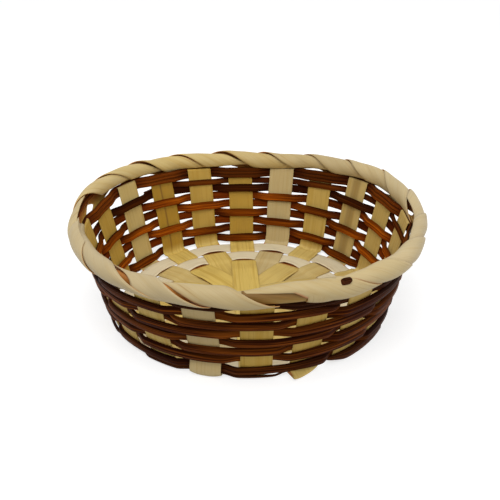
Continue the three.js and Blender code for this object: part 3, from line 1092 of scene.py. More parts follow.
    def face_relief(self, stake: int, length: np.ndarray, column: np.ndarray, in_wall: np.ndarray,
                    border: np.ndarray) -> np.ndarray:
        """Inward shift of a strip's face: cupped across in the wall, and uneven along it.

        Args:
            stake: Number of the stake.
            length: Length along the strip.
            column: Place across the strip.
            in_wall: Share by which the strip is part of the wall.
            border: Share by which it is part of the border.

        Returns:
            Shift of each point.
        """
        cup = in_wall * (1.0 - border) * self.cup * (column ** 2 - self.cup_level)
        place = length + column * self.face_wave_slant
        wave = self.face_wave * ripple(place, self.face_wave_length, Draw.FACE_WAVE.seed(stake))
        return cup + wave * (self.base_wave_share + (1.0 - self.base_wave_share) * in_wall)

    def opening(self, stake: int, run: np.ndarray) -> np.ndarray:
        """Share by which a border strip stands open: on its top at the front, on its inside at the back.

        Args:
            stake: Number of the stake.
            run: Length past the start of the lean.

        Returns:
            Share at each point.
        """
        if stake == self.loose_stake:
            return smoothstep(run, *self.loose_runs)
        facing = 0.5 - 0.5 * math.cos(self.form.angle_of(stake) - math.pi / 2.0)
        shift = Draw.OPENING.generator(stake).uniform(-self.open_spread, self.open_spread)
        middle = self.open_run - self.open_earlier * facing + shift
        return smoothstep(-np.abs(run - middle), -self.open_reach, 0.0)

    def border_relief(self, stake: int, run: np.ndarray, column: np.ndarray, along_rim: np.ndarray,
                      border: np.ndarray) -> np.ndarray:
        """Outward shift of a border strip: its layer, its bulge and its lifted edge.

        Args:
            stake: Number of the stake.
            run: Length past the start of the lean.
            column: Place across the strip.
            along_rim: Distance from the strip's middle along the rim.
            border: Share by which the strip is part of the border.

        Returns:
            Shift of each point, away from the middle of the border.
        """
        layer = self.form.layer * along_rim / self.form.pitch
        lift = self.edge_lift * self.lifts[stake] * self.opening(stake, run)
        lift = lift * smoothstep(column, *self.lifted_columns)
        bulge = self.bulge * Draw.BULGE.generator(stake).uniform(*self.bulge_spread)
        bulge = bulge * (self.bulge_level - column ** 2)
        puff = self.puff * ripple(along_rim, self.puff_length, Draw.PUFF.seed(stake))
        return border * (layer + lift + bulge + puff)

    def place(self, angle: float, radius: np.ndarray, height: np.ndarray, along_rim: np.ndarray,
              in_wall: np.ndarray, border: np.ndarray) -> np.ndarray:
        """Points of a strip in space.

        Args:
            angle: Direction of the stake.
            radius: Distance from the basket's axis.
            height: Height above the resting plane.
            along_rim: Distance from the stake's middle along the rim.
            in_wall: Share by which the strip follows the round wall.
            border: Share by which it follows the rim.

        Returns:
            Points, rows by columns by three.
        """
        middle = radius[:, self.columns // 2][:, None]
        measure = middle + (self.form.rim_radius - middle) * border
        turn = angle + along_rim / np.maximum(measure, self.least_radius)
        out, up = (sum(share * np.sin(waves * turn + phase) for waves, phase, share in wobble)
                   for wobble in (self.wobble_out, self.wobble_up))
        radius = radius + self.rim_wobble * border * out
        height = height + self.rim_wobble * border * up
        squeezed, reach = self.squeeze_angles
        flatter = self.squeeze * border * smoothstep(-np.abs(np.mod(turn, FULL_TURN) - squeezed), -reach, 0.0)
        height = height + flatter * (self.form.rim_height - height)
        height = height + self.form.wave(turn, height)
        flat_x = radius * math.cos(angle) - along_rim * math.sin(angle)
        flat_y = radius * math.sin(angle) + along_rim * math.cos(angle)
        x = flat_x + (radius * np.cos(turn) - flat_x) * in_wall
        y = flat_y + (radius * np.sin(turn) - flat_y) * in_wall
        return np.stack([x, y, height], axis=-1)

    def band(self, strip: int) -> Band:
        """Whole strip: both halves joined at the centre of the base.

        Args:
            strip: Number of the strip.

        Returns:
            The strip's band.
        """
        near, far = self.half(strip, strip), self.half(strip, strip + self.count)
        whole = {}
        for name, value in near.items():
            sign = -1.0 if name in ("along", "across") else 1.0
            mirrored = sign * far[name][:, ::-1, ::-1][:, :-1]
            whole[name] = section_ring(*np.concatenate([mirrored, value], axis=1))
        points, along, across = (whole.pop(name) for name in ("points", "along", "across"))
        return Band(points, along, across + self.grain_offset * strip, tones=whole)

    def tucked_end(self, first: float, last: float, shares: dict[str, float]) -> Band:
        """Piece of a strip end inside the border, which shows through an opening; its darker tones are
        painted shade inside the roll.

        Args:
            first: Stake where it starts.
            last: Stake where it ends.
            shares: Its tones.

        Returns:
            The piece's band.
        """
        form = self.form
        turn = np.linspace(*self.tuck_turns, self.tuck_columns)[None, :]
        angle = np.linspace(form.angle_of(first), form.angle_of(last), self.tuck_rows)[:, None]
        flat = np.ones_like(angle * turn)
        faces = []
        for inset in (self.tuck_inset, self.tuck_inset + form.strip_thickness):
            radius = form.rim_radius + (self.roll_out - inset) * np.cos(turn)
            height = form.rim_height - self.roll_drop + (self.roll_up - inset) * np.sin(turn)
            height = height * flat + form.wave(angle, height)
            faces.append(np.stack([radius * np.cos(angle), radius * np.sin(angle), height], axis=-1))
        along = form.rim_radius * angle - self.tuck_grain[0] * turn
        across = form.rim_radius * angle * 0.5 + self.tuck_grain[1] * turn
        # Painted shade, weaker towards the outer, lower side of the roll
        fade = (1.0 - self.tuck_shade_fade * smoothstep(-turn, *self.tuck_shade_fade_turns)) * flat
        return Band(
            points=section_ring(*faces),
            along=section_ring(along, along),
            across=section_ring(across, across),
            tones={name: section_ring(share * fade, share * fade) for name, share in shares.items()},
        )

    def build(self) -> None:
        """Builds and dresses every strip, and the strip ends that show in the border's openings."""
        material = self.finish.material()
        for strip in range(self.count):
            number = f"{strip + 1:02d}"
            piece = self.band(strip).to_object(f"bamboo_strip_{number}", material)
            dress(piece, Slot.STRIP, f"stake_strip_{number}")
        for number, tuck in enumerate(self.tucks, start=1):
            dress(self.tucked_end(*tuck).to_object(f"tucked_end_{number}", material), Slot.STRIP)


@dataclass
class BaseRings:
    """Two flat splints woven through the spokes of the base."""

    inner_radii: ClassVar[Span] = (60.5 * MM, 75.0 * MM)
    outer_radii: ClassVar[Span] = (76.5 * MM, 91.0 * MM)

    form: Form
    finish: BambooFinish
    hump: float = 0.35 * MM
    crown: float = 0.35 * MM
    edge_lift: float = 1.7 * MM
    lift_waves: float = 7.0
    lift_spread: float = 0.3
    sway: float = 0.4 * MM
    sway_length: float = 70 * MM
    over_steps: Span = (-0.4, 0.9)
    narrowing: float = 0.07
    edge_thinning: float = 0.4
    edge_power: int = 6
    grain_offset: float = 100.0
    # Painted shade on the lower face of each ring
    under_painted_shade: float = 0.7
    columns: int = 12
    rows: int = 280

    def band(self, radii: Span, over_even: bool) -> Band:
        """Ring that rises over every other spoke.

        Args:
            radii: Inner and outer radius.
            over_even: Whether it lies on the spokes with even numbers.

        Returns:
            The ring's band.
        """
        inner, outer = radii
        turn = np.linspace(0.0, FULL_TURN, self.rows, endpoint=False)[:, None]
        column = np.linspace(-1.0, 1.0, self.columns + 1)[None, :]
        phase = 0.0 if over_even else math.pi
        weave = np.cos(self.form.stake_count / 2.0 * (turn - self.form.back_angle) + phase)
        over = smoothstep(weave, *self.over_steps)
        middle, half = (inner + outer) / 2.0, (outer - inner) / 2.0
        seed = Draw.RING_SWAY.seed(0 if over_even else 1)
        sway = self.sway * ripple(turn * middle, self.sway_length, seed) * np.sin(turn / 2.0)
        radius = middle + half * column * (1.0 - self.narrowing + self.narrowing * over) + sway
        bow = self.crown * (1.0 - column ** 2) * over
        lift = self.edge_lift * over ** 2 * smoothstep(-column, 0.0, 1.0)
        lift = lift * (1.0 - self.lift_spread + self.lift_spread * np.sin(turn * self.lift_waves))
        height = self.form.level(1) + self.hump * weave + bow + lift
        thick = self.form.strip_thickness / 2.0 * (1.0 - self.edge_thinning * column ** self.edge_power)
        faces = [np.stack([radius * np.cos(turn), radius * np.sin(turn), height + side * thick], axis=-1)
                 for side in (1.0, -1.0)]
        flat = np.ones_like(radius)
        along, across = turn * middle * flat, half * column * flat + inner * self.grain_offset
        return Band(
            points=section_ring(*faces),
            along=section_ring(along, along),
            across=section_ring(across, across),
            tones={
                "cream": section_ring(flat, flat),
                # Painted shade on the lower face
                "painted_shade": section_ring(0.0 * flat, self.under_painted_shade * flat),
            },
            cyclic=True,
        )

    def build(self) -> None:
        """Builds and dresses both rings."""
        material = self.finish.material()
        rings = (("inner", self.inner_radii, True), ("outer", self.outer_radii, False))
        for name, radii, over_even in rings:
            ring = self.band(radii, over_even).to_object(f"woven_ring_{name}", material)
            dress(ring, Slot.SPLINT, f"base_ring_{name}")


# Rods


class RodTree:
    """Geometry Nodes tree of a rod woven in and out of the stakes."""

    INPUTS: ClassVar[dict[str, float]] = {
        "First Stake": 0.0, "Last Stake": 20.0, "Spiral Start": 0.0, "Steps": 400, "Back Angle": 0.0,
        "Stake Angle": 0.3, "Twill": 3.0, "Lowest": 0.0, "Rise": 0.0, "Foot Radius": 0.1, "Foot Height": 0.0,
        "Wall Slope": 0.2, "Offset": 0.0, "Shift": 0.0, "Flat Share": 0.3, "Height": 0.006, "Depth": 0.002,
        "Groove": 0.0, "Fullness": 0.75, "Wander": 0.0, "Sag": 0.0, "Wave": 0.0, "Wave Tilt": 0.0,
        "Front Wave": 0.0, "Wave Start": 0.0, "Wave End": 1.0, "Splice": 0.5, "Seed": 0.0, "Broad": 0.0,
        "Broad Angle": 0.0,
    }
    WANDER_PACE: ClassVar[float] = 0.6
    SWELL: ClassVar[Span] = (0.93, 0.14)
    SWELL_PACE: ClassVar[float] = 0.35
    SWELL_SEED: ClassVar[float] = 3.0
    # Stakes past the spiral's start over which it begins to sag, and over which that ends
    SAG_START: ClassVar[Span] = (6.0, 14.0)
    SAG_END: ClassVar[Span] = (20.0, 30.0)
    BROAD_STEPS: ClassVar[Span] = (0.80, 0.96)
    SECTION_POINTS: ClassVar[int] = 28
    SPLIT_STEPS: ClassVar[Span] = (-0.25, 0.12)
    SPLIT_FLATNESS: ClassVar[float] = 0.45
    GROOVE_PACE: ClassVar[float] = 9.5
    GROOVE_EDGE: ClassVar[Span] = (0.75, 1.0)
    # Splices: a rod's ends are thinner, its start lies above the end that it meets, and its end below
    SPLICE_THICKNESS: ClassVar[float] = 0.42
    SPLICE_SHIFT: ClassVar[float] = 0.27

    def __init__(self) -> None:
        """Builds the tree once."""
        self.group = bpy.data.node_groups.new("woven_rod", "GeometryNodeTree")
        self.tree = Tree(self.group)
        self.identifiers: dict[str, str] = {}
        for name, value in self.INPUTS.items():
            self._new_input(name, "NodeSocketInt" if isinstance(value, int) else "NodeSocketFloat")
        self._new_input("Finish", "NodeSocketMaterial")
        self.group.interface.new_socket("Rod", in_out="OUTPUT", socket_type="NodeSocketGeometry")
        self.entry = self.tree.add("NodeGroupInput", output="First Stake")
        self._build()

    def _new_input(self, name: str, kind: str) -> None:
        """Adds a named input to the tree."""
        socket = self.group.interface.new_socket(name, in_out="INPUT", socket_type=kind)
        self.identifiers[name] = socket.identifier

    def _path(self) -> tuple[Socket, ...]:
        """Place on the rod's path, from the stakes that it passes.

        Returns:
            X, Y and Z of the path, the number of the stake, with its fraction, and the side from -1 to 1.
        """
        take, tree = self.entry.output, self.tree
        share = tree.add("GeometryNodeSplineParameter", output="Factor")
        stake = take("First Stake") + share * (take("Last Stake") - take("First Stake"))
        below = stake.math("FLOOR")
        change = (stake - below).step(take("Flat Share"), 1.0 - take("Flat Share"))
        side_before, side_after = self._side(below), self._side(below + 1.0)
        side = side_before + (side_after - side_before) * change
        wander = take("Wander") * (tree.line_noise(stake * self.WANDER_PACE + take("Seed")) - 0.5)
        passed = stake - take("Spiral Start")
        sag = take("Sag") * passed.step(*self.SAG_START) * (1.0 - passed.step(*self.SAG_END))
        turn = take("Back Angle") + stake * take("Stake Angle")
        even = take("Lowest") + take("Rise") * passed + wander - sag
        wave = take("Wave") * (take("Wave Tilt") * turn.math("SINE") + (turn * Form.waves_round).math("SINE"))
        at_back = turn.math("SINE").step(-Form.front_edge, Form.front_edge)
        wave = wave * (take("Front Wave") + (1.0 - take("Front Wave")) * at_back)
        broad = self._broad(turn)
        height = even + broad * take("Height") * 0.5 + wave * even.step(take("Wave Start"), take("Wave End"))
        wall = take("Foot Radius") + (even - take("Foot Height")) * take("Wall Slope")
        reach = wall + side * take("Offset") + take("Shift") + side * broad * take("Depth") * 0.5
        return reach * turn.math("COSINE"), reach * turn.math("SINE"), height, stake, side

    def _side(self, stake: Socket) -> Socket:
        """Side on which a stake is passed: inside where its number divides by the twill."""
        inside = stake.math("FLOORED_MODULO", self.entry.output("Twill")).math("LESS_THAN", 0.5)
        return float(Pass.OUTSIDE.value) + inside * float(Pass.INSIDE.value - Pass.OUTSIDE.value)

    def _broad(self, turn: Socket) -> Socket:
        """Share by which a rod is broader in a direction, on one side of the basket."""
        facing = (turn - self.entry.output("Broad Angle")).math("COSINE")
        return self.entry.output("Broad") * facing.step(*self.BROAD_STEPS)

    def _store(self, geometry: Socket, **values: Value) -> Socket:
        """Keeps numbers on the points, by name.

        Args:
            geometry: The points.
            values: The numbers, by the name that a finish reads them by.

        Returns:
            The points with the numbers.
        """
        settings = {"data_type": "FLOAT", "domain": "POINT"}
        for name, value in values.items():
            inputs = {"Geometry": geometry, "Name": name, "Value": value}
            geometry = self.tree.add("GeometryNodeStoreNamedAttribute", settings, inputs)
        return geometry

    def _section(self) -> Socket:
        """Section of the rod: a low arch on the bark side, nearly flat and grooved on the split side.

        Returns:
            The section's curve.
        """
        take, tree = self.entry.output, self.tree
        ring_inputs = {"Resolution": self.SECTION_POINTS, "Radius": 1.0}
        ring = tree.add("GeometryNodeCurvePrimitiveCircle", {"mode": "RADIUS"}, ring_inputs)
        out, up = tree.split(tree.add("GeometryNodeInputPosition"))
        split_side = 1.0 - out.step(*self.SPLIT_STEPS)
        fullness = up.math("ABSOLUTE").math("POWER", take("Fullness")) * up.math("SIGN")
        groove = (up * self.GROOVE_PACE).math("COSINE") * take("Groove")
        groove = groove * (1.0 - up.math("ABSOLUTE").step(*self.GROOVE_EDGE))
        depth = out * (1.0 - self.SPLIT_FLATNESS * split_side) * take("Depth") * 0.5
        ribbed = depth + groove * (1.0 - 2.0 * split_side)
        stored = self._store(ring, across=up, split_side=split_side)
        position = tree.combine(ribbed, fullness * take("Height") * 0.5, 0.0)
        return tree.add("GeometryNodeSetPosition", None, {"Geometry": stored, "Position": position})

    def _build(self) -> None:
        """Adds the nodes: path, section, skin and finish."""
        take, tree = self.entry.output, self.tree
        line = tree.add("GeometryNodeCurvePrimitiveLine", None, {"Start": (0, 0, 0), "End": (0, 0, 1)})
        line_inputs = {"Curve": line, "Count": take("Steps")}
        line = tree.add("GeometryNodeResampleCurve", {"mode": "COUNT"}, line_inputs)
        x, y, z, stake, side = self._path()
        begun = (stake - take("First Stake")).step(0.0, take("Splice"))
        ending = (take("Last Stake") - stake).step(0.0, take("Splice"))
        path = self._store(line, along=stake, seed=take("Seed"), outside=side * 0.5 + 0.5)
        place = tree.combine(x, y, z + self.SPLICE_SHIFT * take("Height") * (ending - begun))
        path = tree.add("GeometryNodeSetPosition", None, {"Geometry": path, "Position": place})
        path = tree.add("GeometryNodeSetCurveNormal", {"mode": "Z_UP"}, {"Curve": path})
        tilt = take("Wall Slope").math("ARCTANGENT")
        path = tree.add("GeometryNodeSetCurveTilt", None, {"Curve": path, "Tilt": tilt})
        swell = tree.line_noise(stake * self.SWELL_PACE + take("Seed") + self.SWELL_SEED)
        full = self.SPLICE_THICKNESS + (1.0 - self.SPLICE_THICKNESS) * begun * ending
        broad = self._broad(take("Back Angle") + stake * take("Stake Angle"))
        radius = (self.SWELL[0] + self.SWELL[1] * swell) * full * (1.0 + broad)
        path = tree.add("GeometryNodeSetCurveRadius", None, {"Curve": path, "Radius": radius})
        skin_inputs = {"Curve": path, "Profile Curve": self._section(), "Scale": radius, "Fill Caps": True}
        skin = tree.add("GeometryNodeCurveToMesh", None, skin_inputs)
        skin = tree.add("GeometryNodeSetShadeSmooth", None, {"Geometry": skin})
        skin = tree.add("GeometryNodeRealizeInstances", None, {"Geometry": skin})
        skin = tree.add("GeometryNodeSetMaterial", None, {"Geometry": skin, "Material": take("Finish")})
        tree.add("NodeGroupOutput", None, {"Rod": skin})

    def make(self, name: str, values: dict[str, float], finish: bpy.types.Material) -> bpy.types.Object:
        """Makes one rod a plain mesh.

        Args:
            name: The rod's name.
            values: Values of the tree's inputs, by name.
            finish: The rod's material.

        Returns:
            The rod's object.
        """
        holder = add_object(name + "_path", bpy.data.meshes.new(name + "_path"))
        modifier = holder.modifiers.new("woven rod", "NODES")
        modifier.node_group = self.group
        for key, value in {**self.INPUTS, **values, "Finish": finish}.items():
            modifier[self.identifiers[key]] = value
        graph = bpy.context.evaluated_depsgraph_get()
        mesh = bpy.data.meshes.new_from_object(holder.evaluated_get(graph), depsgraph=graph)
        mesh.name = name
        bpy.data.objects.remove(holder)
        turn_out(mesh)
        return add_object(name, mesh)


@dataclass
class WovenRods:
    """Dark rods of the basket: the spiral of the wall, the top course and the hoop in the border.

    A dark stretch of a rod is its first stake, its last stake and its share of char.
    """

    form: Form
    tree: RodTree
    weaver_finish: RodFinish
    rod_finish: RodFinish
    hoop_finish: RodFinish
    steps_per_stake: int = 18
    flat_margin: float = 0.4 * MM
    char_fade: float = 0.4
    plain_weave: float = 2.0
    round_seat: float = 0.48

    # Spiral of the wall
    weaver_count: int = 6
    weaver_passes: int = 140
    first_stake: int = -8
    twill: float = 3.0
    weaver_height: float = 6.4 * MM
    weaver_depth: float = 3.4 * MM
    weaver_groove: float = 0.16 * MM
    weaver_wander: float = 1.5 * MM
    weaver_sag: float = 2.2 * MM
    weaver_splice: float = 0.6
    free_end: float = 0.5
    spliced_end: float = 0.8
    weaver_seed: float = 11.0
    solid_inset: float = 3.1 * MM
    broad_share: float = 0.28
    broad_angle: float = math.radians(318.0)
    outer_offset: float = 1.25 * MM
    inner_offset: float = 2.0 * MM
    dark_stretches: tuple[tuple[float, float, float], ...] = (
        (-9.0, 21.5, 0.45), (37.0, 39.6, 0.5), (57.0, 61.0, 0.35), (76.4, 78.5, 0.6), (82.0, 84.5, 0.4),
        (97.0, 99.0, 0.45), (103.5, 105.0, 0.5), (112.5, 115.5, 0.6), (115.5, 124.5, 0.88),
        (124.5, 127.0, 0.5),
    )

    # Top course
    top_count: int = 3
    top_thickness: float = 3.0 * MM
    top_rise: float = 1.6 * MM
    top_spread: float = 0.6 * MM
    top_ends: Span = (-0.55, -0.2)
    top_wander: float = 0.3 * MM
    top_splice: float = 0.08
    top_seeds: Span = (90.0, 7.0)
    dark_top: tuple[tuple[float, float, float], ...] = (
        (-1.0, 1.35, 0.55), (5.0, 12.0, 0.5), (17.2, 21.0, 0.6))

    # Thin end of the spiral, and the rod at the foot
    end_thickness: float = 4.8 * MM
    end_depth: float = 1.8 * MM
    end_drop: float = 1.3 * MM
    end_stakes: Span = (131.2, 142.5)
    end_wander: float = 0.4 * MM
    end_char: float = 0.45
    end_seed: float = 47.0
    foot_thickness: float = 2.6 * MM
    foot_stakes: Span = (1.6, 11.0)
    foot_splice: float = 1.5
    foot_seed: float = 41.0

    # Hoop in the border, and its end that stands out
    hoop_share: float = 0.65
    hoop_gap: float = 0.02
    hoop_splice: float = 0.05
    hoop_seed: float = 63.0
    stub_stakes: Span = (11.30, 11.46)
    stub_rise: float = 4.0 * MM
    stub_out: float = 2.4 * MM
    stub_thickness: float = 4.6 * MM
    stub_steps: int = 24
    stub_splice: float = 0.03
    stub_seed: float = 71.0

    def route(self, first: float, last: float, lowest: float, height: float,
              depth: float) -> dict[str, float]:
        """Inputs of a rod: its stakes, its height and its section, and what all the rods share.

        Args:
            first: Stake where it starts.
            last: Stake where it ends.
            lowest: Height of its middle at its start.
            height: Its thickness up the wall.
            depth: Its thickness through the wall.

        Returns:
            Values by name of the input.
        """
        form = self.form
        return {
            "First Stake": first, "Last Stake": last, "Steps": int((last - first) * self.steps_per_stake),
            "Lowest": lowest, "Height": height, "Depth": depth,
            "Back Angle": form.back_angle, "Stake Angle": form.stake_angle, "Foot Radius": form.foot_radius,
            "Foot Height": form.foot_height, "Wall Slope": math.tan(form.flare),
            "Wave": form.rim_wave, "Wave Tilt": form.wave_tilt, "Front Wave": form.front_wave,
            "Wave Start": form.wave_heights[0], "Wave End": form.wave_heights[1],
        }

    def round_route(self, first: float, last: float, lowest: float, thickness: float) -> dict[str, float]:
        """Inputs of a round rod in plain weave, which bears on the stakes."""
        offset = self.form.strip_thickness / 2.0 + thickness * self.round_seat
        return {**self.route(first, last, lowest, thickness, thickness), "Twill": self.plain_weave,
                "Offset": offset, "Fullness": 1.0}

    def flat_share(self, height: float) -> float:
        """Share of a stake's pitch that a rod stays flat on each side of it, at a height."""
        radius = self.form.wall_point(height)[0]
        return (self.form.strip_width / 2.0 + self.flat_margin) / (radius * self.form.stake_angle)

    def climb(self) -> tuple[float, float]:
        """Way of the spiral up the wall, from the frame.

        Returns:
            Height of its middle at its start, and its rise from one stake to the next.
        """
        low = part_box("weaver_rod_1")[0].z
        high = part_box(f"weaver_rod_{self.weaver_count}")[1].z
        inset = self.solid_inset * math.cos(self.form.flare)
        return low + inset, (high - low - 2.0 * inset) / self.weaver_passes

    def darken(self, rod: bpy.types.Object, stretches: Sequence[tuple[float, float, float]]) -> None:
        """Stores on a rod how dark it is along its length.

        Args:
            rod: A rod whose points know the number of the stake that they are at.
            stretches: First stake, last stake and darkness of each dark stretch.
        """
        mesh, fade = rod.data, self.char_fade
        along = np.empty(len(mesh.vertices), np.float32)
        mesh.attributes["along"].data.foreach_get("value", along)
        dark = np.zeros_like(along)
        for start, end, share in stretches:
            begun = smoothstep(along, start - fade, start + fade)
            ended = smoothstep(along, end - fade, end + fade)
            dark = np.maximum(dark, share * begun * (1.0 - ended))
        store(mesh, "char", dark)

    def build_weavers(self) -> None:
        """Builds and dresses the rods of the spiral."""
        material = self.weaver_finish.material()
        lowest, rise = self.climb()
        starts = [self.first_stake + round(i * self.weaver_passes / self.weaver_count)
                  for i in range(self.weaver_count + 1)]
        for number, (first, last) in enumerate(zip(starts, starts[1:]), start=1):
            begin = first - (self.free_end if number == 1 else self.spliced_end)
            end = last - 1 + (self.free_end if number == self.weaver_count else self.spliced_end)
            values = {
                **self.route(begin, end, lowest, self.weaver_height, self.weaver_depth),
                "Spiral Start": float(self.first_stake), "Twill": self.twill, "Rise": rise,
                "Flat Share": self.flat_share(lowest + rise * (first - self.first_stake)),
                "Offset": (self.outer_offset + self.inner_offset) / 2.0,
                "Shift": (self.outer_offset - self.inner_offset) / 2.0,
                "Groove": self.weaver_groove, "Wander": self.weaver_wander, "Sag": self.weaver_sag,
                "Splice": self.weaver_splice, "Seed": self.weaver_seed * number,
                "Broad": self.broad_share, "Broad Angle": self.broad_angle,
            }
            rod = self.tree.make(f"dark_weaver_{number}", values, material)
            self.darken(rod, self.dark_stretches)
            dress(rod, Slot.SPLIT_ROD, f"weaver_rod_{number}")

    def build_top_course(self, material: bpy.types.Material) -> None:
        """Builds and dresses the thin rods under the border.

        Args:
            material: Finish of the round rods.
        """
        stakes = self.form.stake_count
        for number in range(1, self.top_count + 1):
            node = f"top_rod_{number}"
            low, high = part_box(node)
            middle = (low.z + high.z) / 2.0 + self.top_rise + (number - 2) * self.top_spread
            values = {
                **self.round_route(self.top_ends[0], stakes + self.top_ends[1], middle, self.top_thickness),
                "Steps": stakes * self.steps_per_stake, "Flat Share": self.flat_share(middle),
                "Wander": self.top_wander, "Splice": self.top_splice,
                "Seed": self.top_seeds[0] + self.top_seeds[1] * number,
            }
            rod = self.tree.make(f"top_course_rod_{number}", values, material)
            self.darken(rod, self.dark_top)
            dress(rod, Slot.ROUND_ROD, node)

    def build_end_rod(self, material: bpy.types.Material) -> None:
        """Builds and dresses the thin end of the spiral under the top course.

        Args:
            material: Finish of the round rods.
        """
        low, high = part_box("end_rod")
        middle = (low.z + high.z) / 2.0 - self.end_drop
        values = {
            **self.route(*self.end_stakes, middle, self.end_thickness, self.end_depth),
            "Twill": self.twill, "Flat Share": self.flat_share(middle),
            "Offset": (self.form.strip_thickness + self.end_depth) / 2.0,
            "Wander": self.end_wander, "Splice": self.weaver_splice, "Seed": self.end_seed,
        }
        rod = self.tree.make("spiral_end_rod", values, material)
        self.darken(rod, ((*self.end_stakes, self.end_char),))
        dress(rod, Slot.ROUND_ROD, "end_rod")

    def build_foot_rod(self, material: bpy.types.Material) -> None:
        """Builds and dresses the thin rod at the foot, which passes outside the stakes with even numbers.

        Args:
            material: Finish of the round rods.
        """
        low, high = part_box("foot_rod")
        first, last = (stake + 1.0 for stake in self.foot_stakes)
        values = {
            **self.round_route(first, last, (low.z + high.z) / 2.0, self.foot_thickness),
            "Back Angle": self.form.back_angle - self.form.stake_angle, "Flat Share": self.flat_share(low.z),
            "Wander": self.top_wander, "Splice": self.foot_splice, "Seed": self.foot_seed,
        }
        dress(self.tree.make("foot_course_rod", values, material), Slot.ROUND_ROD, "foot_rod")

    def build_hoop(self) -> None:
        """Builds and dresses the hoop inside the border."""
        form = self.form
        low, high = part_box("rim_core")
        thick = self.hoop_share * (high.z - low.z)
        values = {
            **self.route(self.hoop_gap, form.stake_count - self.hoop_gap, form.rim_height, thick, thick),
            "Steps": form.stake_count * self.steps_per_stake, "Wall Slope": 0.0,
            "Foot Radius": form.rim_radius, "Splice": self.hoop_splice, "Seed": self.hoop_seed,
        }
        dress(self.tree.make("border_hoop", values, self.hoop_finish.material()), Slot.ROUND_ROD, "rim_core")

    def build_stub(self, material: bpy.types.Material) -> None:
        """Builds and dresses the end of the hoop that stands out of the border.

        Args:
            material: Finish of the round rods.
        """
        middle, thick = self.form.rim_height + self.stub_rise, self.stub_thickness
        values = {
            **self.route(*self.stub_stakes, middle, thick, thick), "Steps": self.stub_steps,
            "Wall Slope": 0.0, "Foot Radius": self.form.rim_radius + self.stub_out,
            "Splice": self.stub_splice, "Fullness": 1.0, "Seed": self.stub_seed,
        }
        dress(self.tree.make("hoop_end", values, material), Slot.ROUND_ROD)

    def build(self) -> None:
        """Builds all the rods."""
        self.build_weavers()
        material = self.rod_finish.material()
        self.build_top_course(material)
        self.build_end_rod(material)
        self.build_foot_rod(material)
        self.build_hoop()
        self.build_stub(material)


# Studio


@dataclass(frozen=True)
class Lamp:
    """Square soft lamp: where it hangs, its side, and its power in watts."""

    name: str
    place: tuple[float, float, float]
    side: float
    power: float


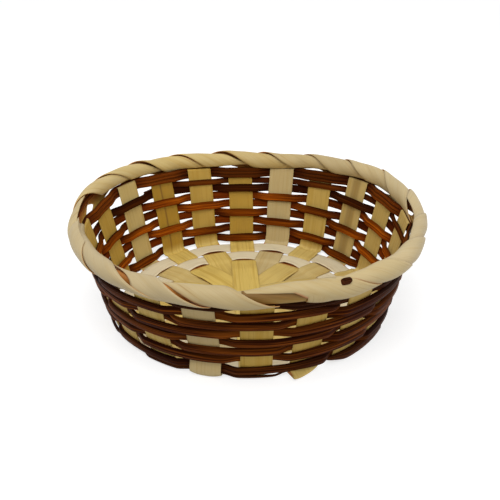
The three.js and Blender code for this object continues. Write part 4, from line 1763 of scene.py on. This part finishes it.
@dataclass
class Studio:
    """White floor, soft light and the camera of the photograph."""

    form: Form
    camera_back: float = 464.0 * MM
    camera_above_rim: float = 200.4 * MM
    camera_dip: float = math.radians(26.22)
    camera_turn: float = math.radians(-0.233)
    lens: float = 53.1
    sensor_width: float = 36.0
    floor_size: float = 6.0
    floor_grey: float = 0.5
    floor_roughness: float = 0.9
    floor_glow: float = 0.66
    world_light: float = 0.62
    lamps: tuple[Lamp, ...] = (
        Lamp("key_lamp", (-0.20, -0.50, 1.30), 1.1, 10.0),
        Lamp("fill_lamp", (0.8, -0.9, 0.7), 0.8, 3.0),
    )

    def build_camera(self) -> None:
        """Sets the camera where the photograph was taken from."""
        camera = bpy.data.cameras.new("camera")
        camera.lens = self.lens
        camera.sensor_width = self.sensor_width
        holder = add_object("camera", camera)
        holder.location = (0.0, -self.camera_back, self.form.rim_height + self.camera_above_rim)
        holder.rotation_euler = (math.pi / 2.0 - self.camera_dip, 0.0, self.camera_turn)
        bpy.context.scene.camera = holder

    def seen_rays(self, tree: Tree) -> Socket:
        """1 for the rays that show the background: camera, glossy and transmission rays.

        Args:
            tree: The tree that asks.

        Returns:
            The rays' mask.
        """
        path = tree.add("ShaderNodeLightPath", output="Is Camera Ray")
        glossy, through = path.output("Is Glossy Ray"), path.output("Is Transmission Ray")
        return path.math("MAXIMUM", glossy).math("MAXIMUM", through)

    def build_floor(self) -> None:
        """Lays a white floor that keeps the basket's shadow."""
        half = self.floor_size / 2.0
        corners = [(-half, -half, 0), (half, -half, 0), (half, half, 0), (-half, half, 0)]
        mesh = bpy.data.meshes.new("floor")
        mesh.from_pydata(corners, [], [(0, 1, 2, 3)])
        material, tree, shader = shader_tree("white_floor")
        grey = (self.floor_grey, self.floor_grey, self.floor_grey, 1.0)
        tree.fill(shader, {"Base Color": grey, "Roughness": self.floor_roughness, "Specular IOR Level": 0.0})
        glow = tree.add("ShaderNodeEmission", None, {"Strength": self.seen_rays(tree) * self.floor_glow})
        total = tree.add("ShaderNodeAddShader", None, {0: Socket(tree, shader.outputs[0]), 1: glow})
        tree.fill(tree.tree.nodes["Material Output"], {"Surface": total})
        mesh.materials.append(material)
        add_object("floor", mesh)

    def build_world(self) -> None:
        """White surroundings that light the basket softly and show as white."""
        world = bpy.data.worlds.new("studio")
        world.use_nodes = True
        bpy.context.scene.world = world
        tree = Tree(world.node_tree)
        strength = self.world_light + self.seen_rays(tree) * (1.0 - self.world_light)
        white = (1.0, 1.0, 1.0, 1.0)
        tree.fill(world.node_tree.nodes["Background"], {"Color": white, "Strength": strength})

    def build_lamp(self, lamp: Lamp) -> None:
        """Hangs a lamp that faces the basket.

        Args:
            lamp: The lamp.
        """
        light = bpy.data.lights.new(lamp.name, "AREA")
        light.size = lamp.side
        light.energy = lamp.power
        holder = add_object(lamp.name, light)
        holder.location = lamp.place
        aim = Vector((0.0, 0.0, self.form.rim_height / 2.0)) - Vector(lamp.place)
        holder.rotation_euler = aim.to_track_quat("-Z", "Y").to_euler()

    def build(self) -> None:
        """Builds the whole studio."""
        bpy.context.scene.view_settings.view_transform = "Standard"
        self.build_camera()
        self.build_floor()
        self.build_world()
        for lamp in self.lamps:
            self.build_lamp(lamp)


def main() -> None:
    """Builds the basket and its studio."""
    logging.basicConfig(level=logging.INFO, format="%(message)s")
    form = Form.from_frame()
    strip_finish = BambooFinish("bamboo_strip", golden=(0.66, 0.47, 0.115), cream=(0.51, 0.405, 0.222))
    splint_finish = BambooFinish("bamboo_splint", golden=(0.62, 0.43, 0.11), cream=(0.76, 0.66, 0.44))
    weaver_finish = RodFinish("dark_split_rod", bark=(0.032, 0.0050, 0.0012), bark_light=(0.29, 0.075, 0.007),
                              wood=(0.52, 0.122, 0.005), wood_dark=(0.13, 0.020, 0.002))
    rod_finish = RodFinish("dark_round_rod", bark=(0.045, 0.011, 0.004), bark_light=(0.14, 0.045, 0.012),
                           wood=(0.30, 0.075, 0.006), wood_dark=(0.09, 0.016, 0.003))
    hoop_finish = RodFinish("hoop_rod", bark=(0.16, 0.038, 0.006), bark_light=(0.34, 0.10, 0.016),
                            wood=(0.34, 0.10, 0.016), wood_dark=(0.16, 0.038, 0.006))
    Studio(form).build()
    StakeStrips(form, strip_finish).build()
    BaseRings(form, splint_finish).build()
    WovenRods(form, RodTree(), weaver_finish, rod_finish, hoop_finish).build()


if __name__ == "__main__":
    main()
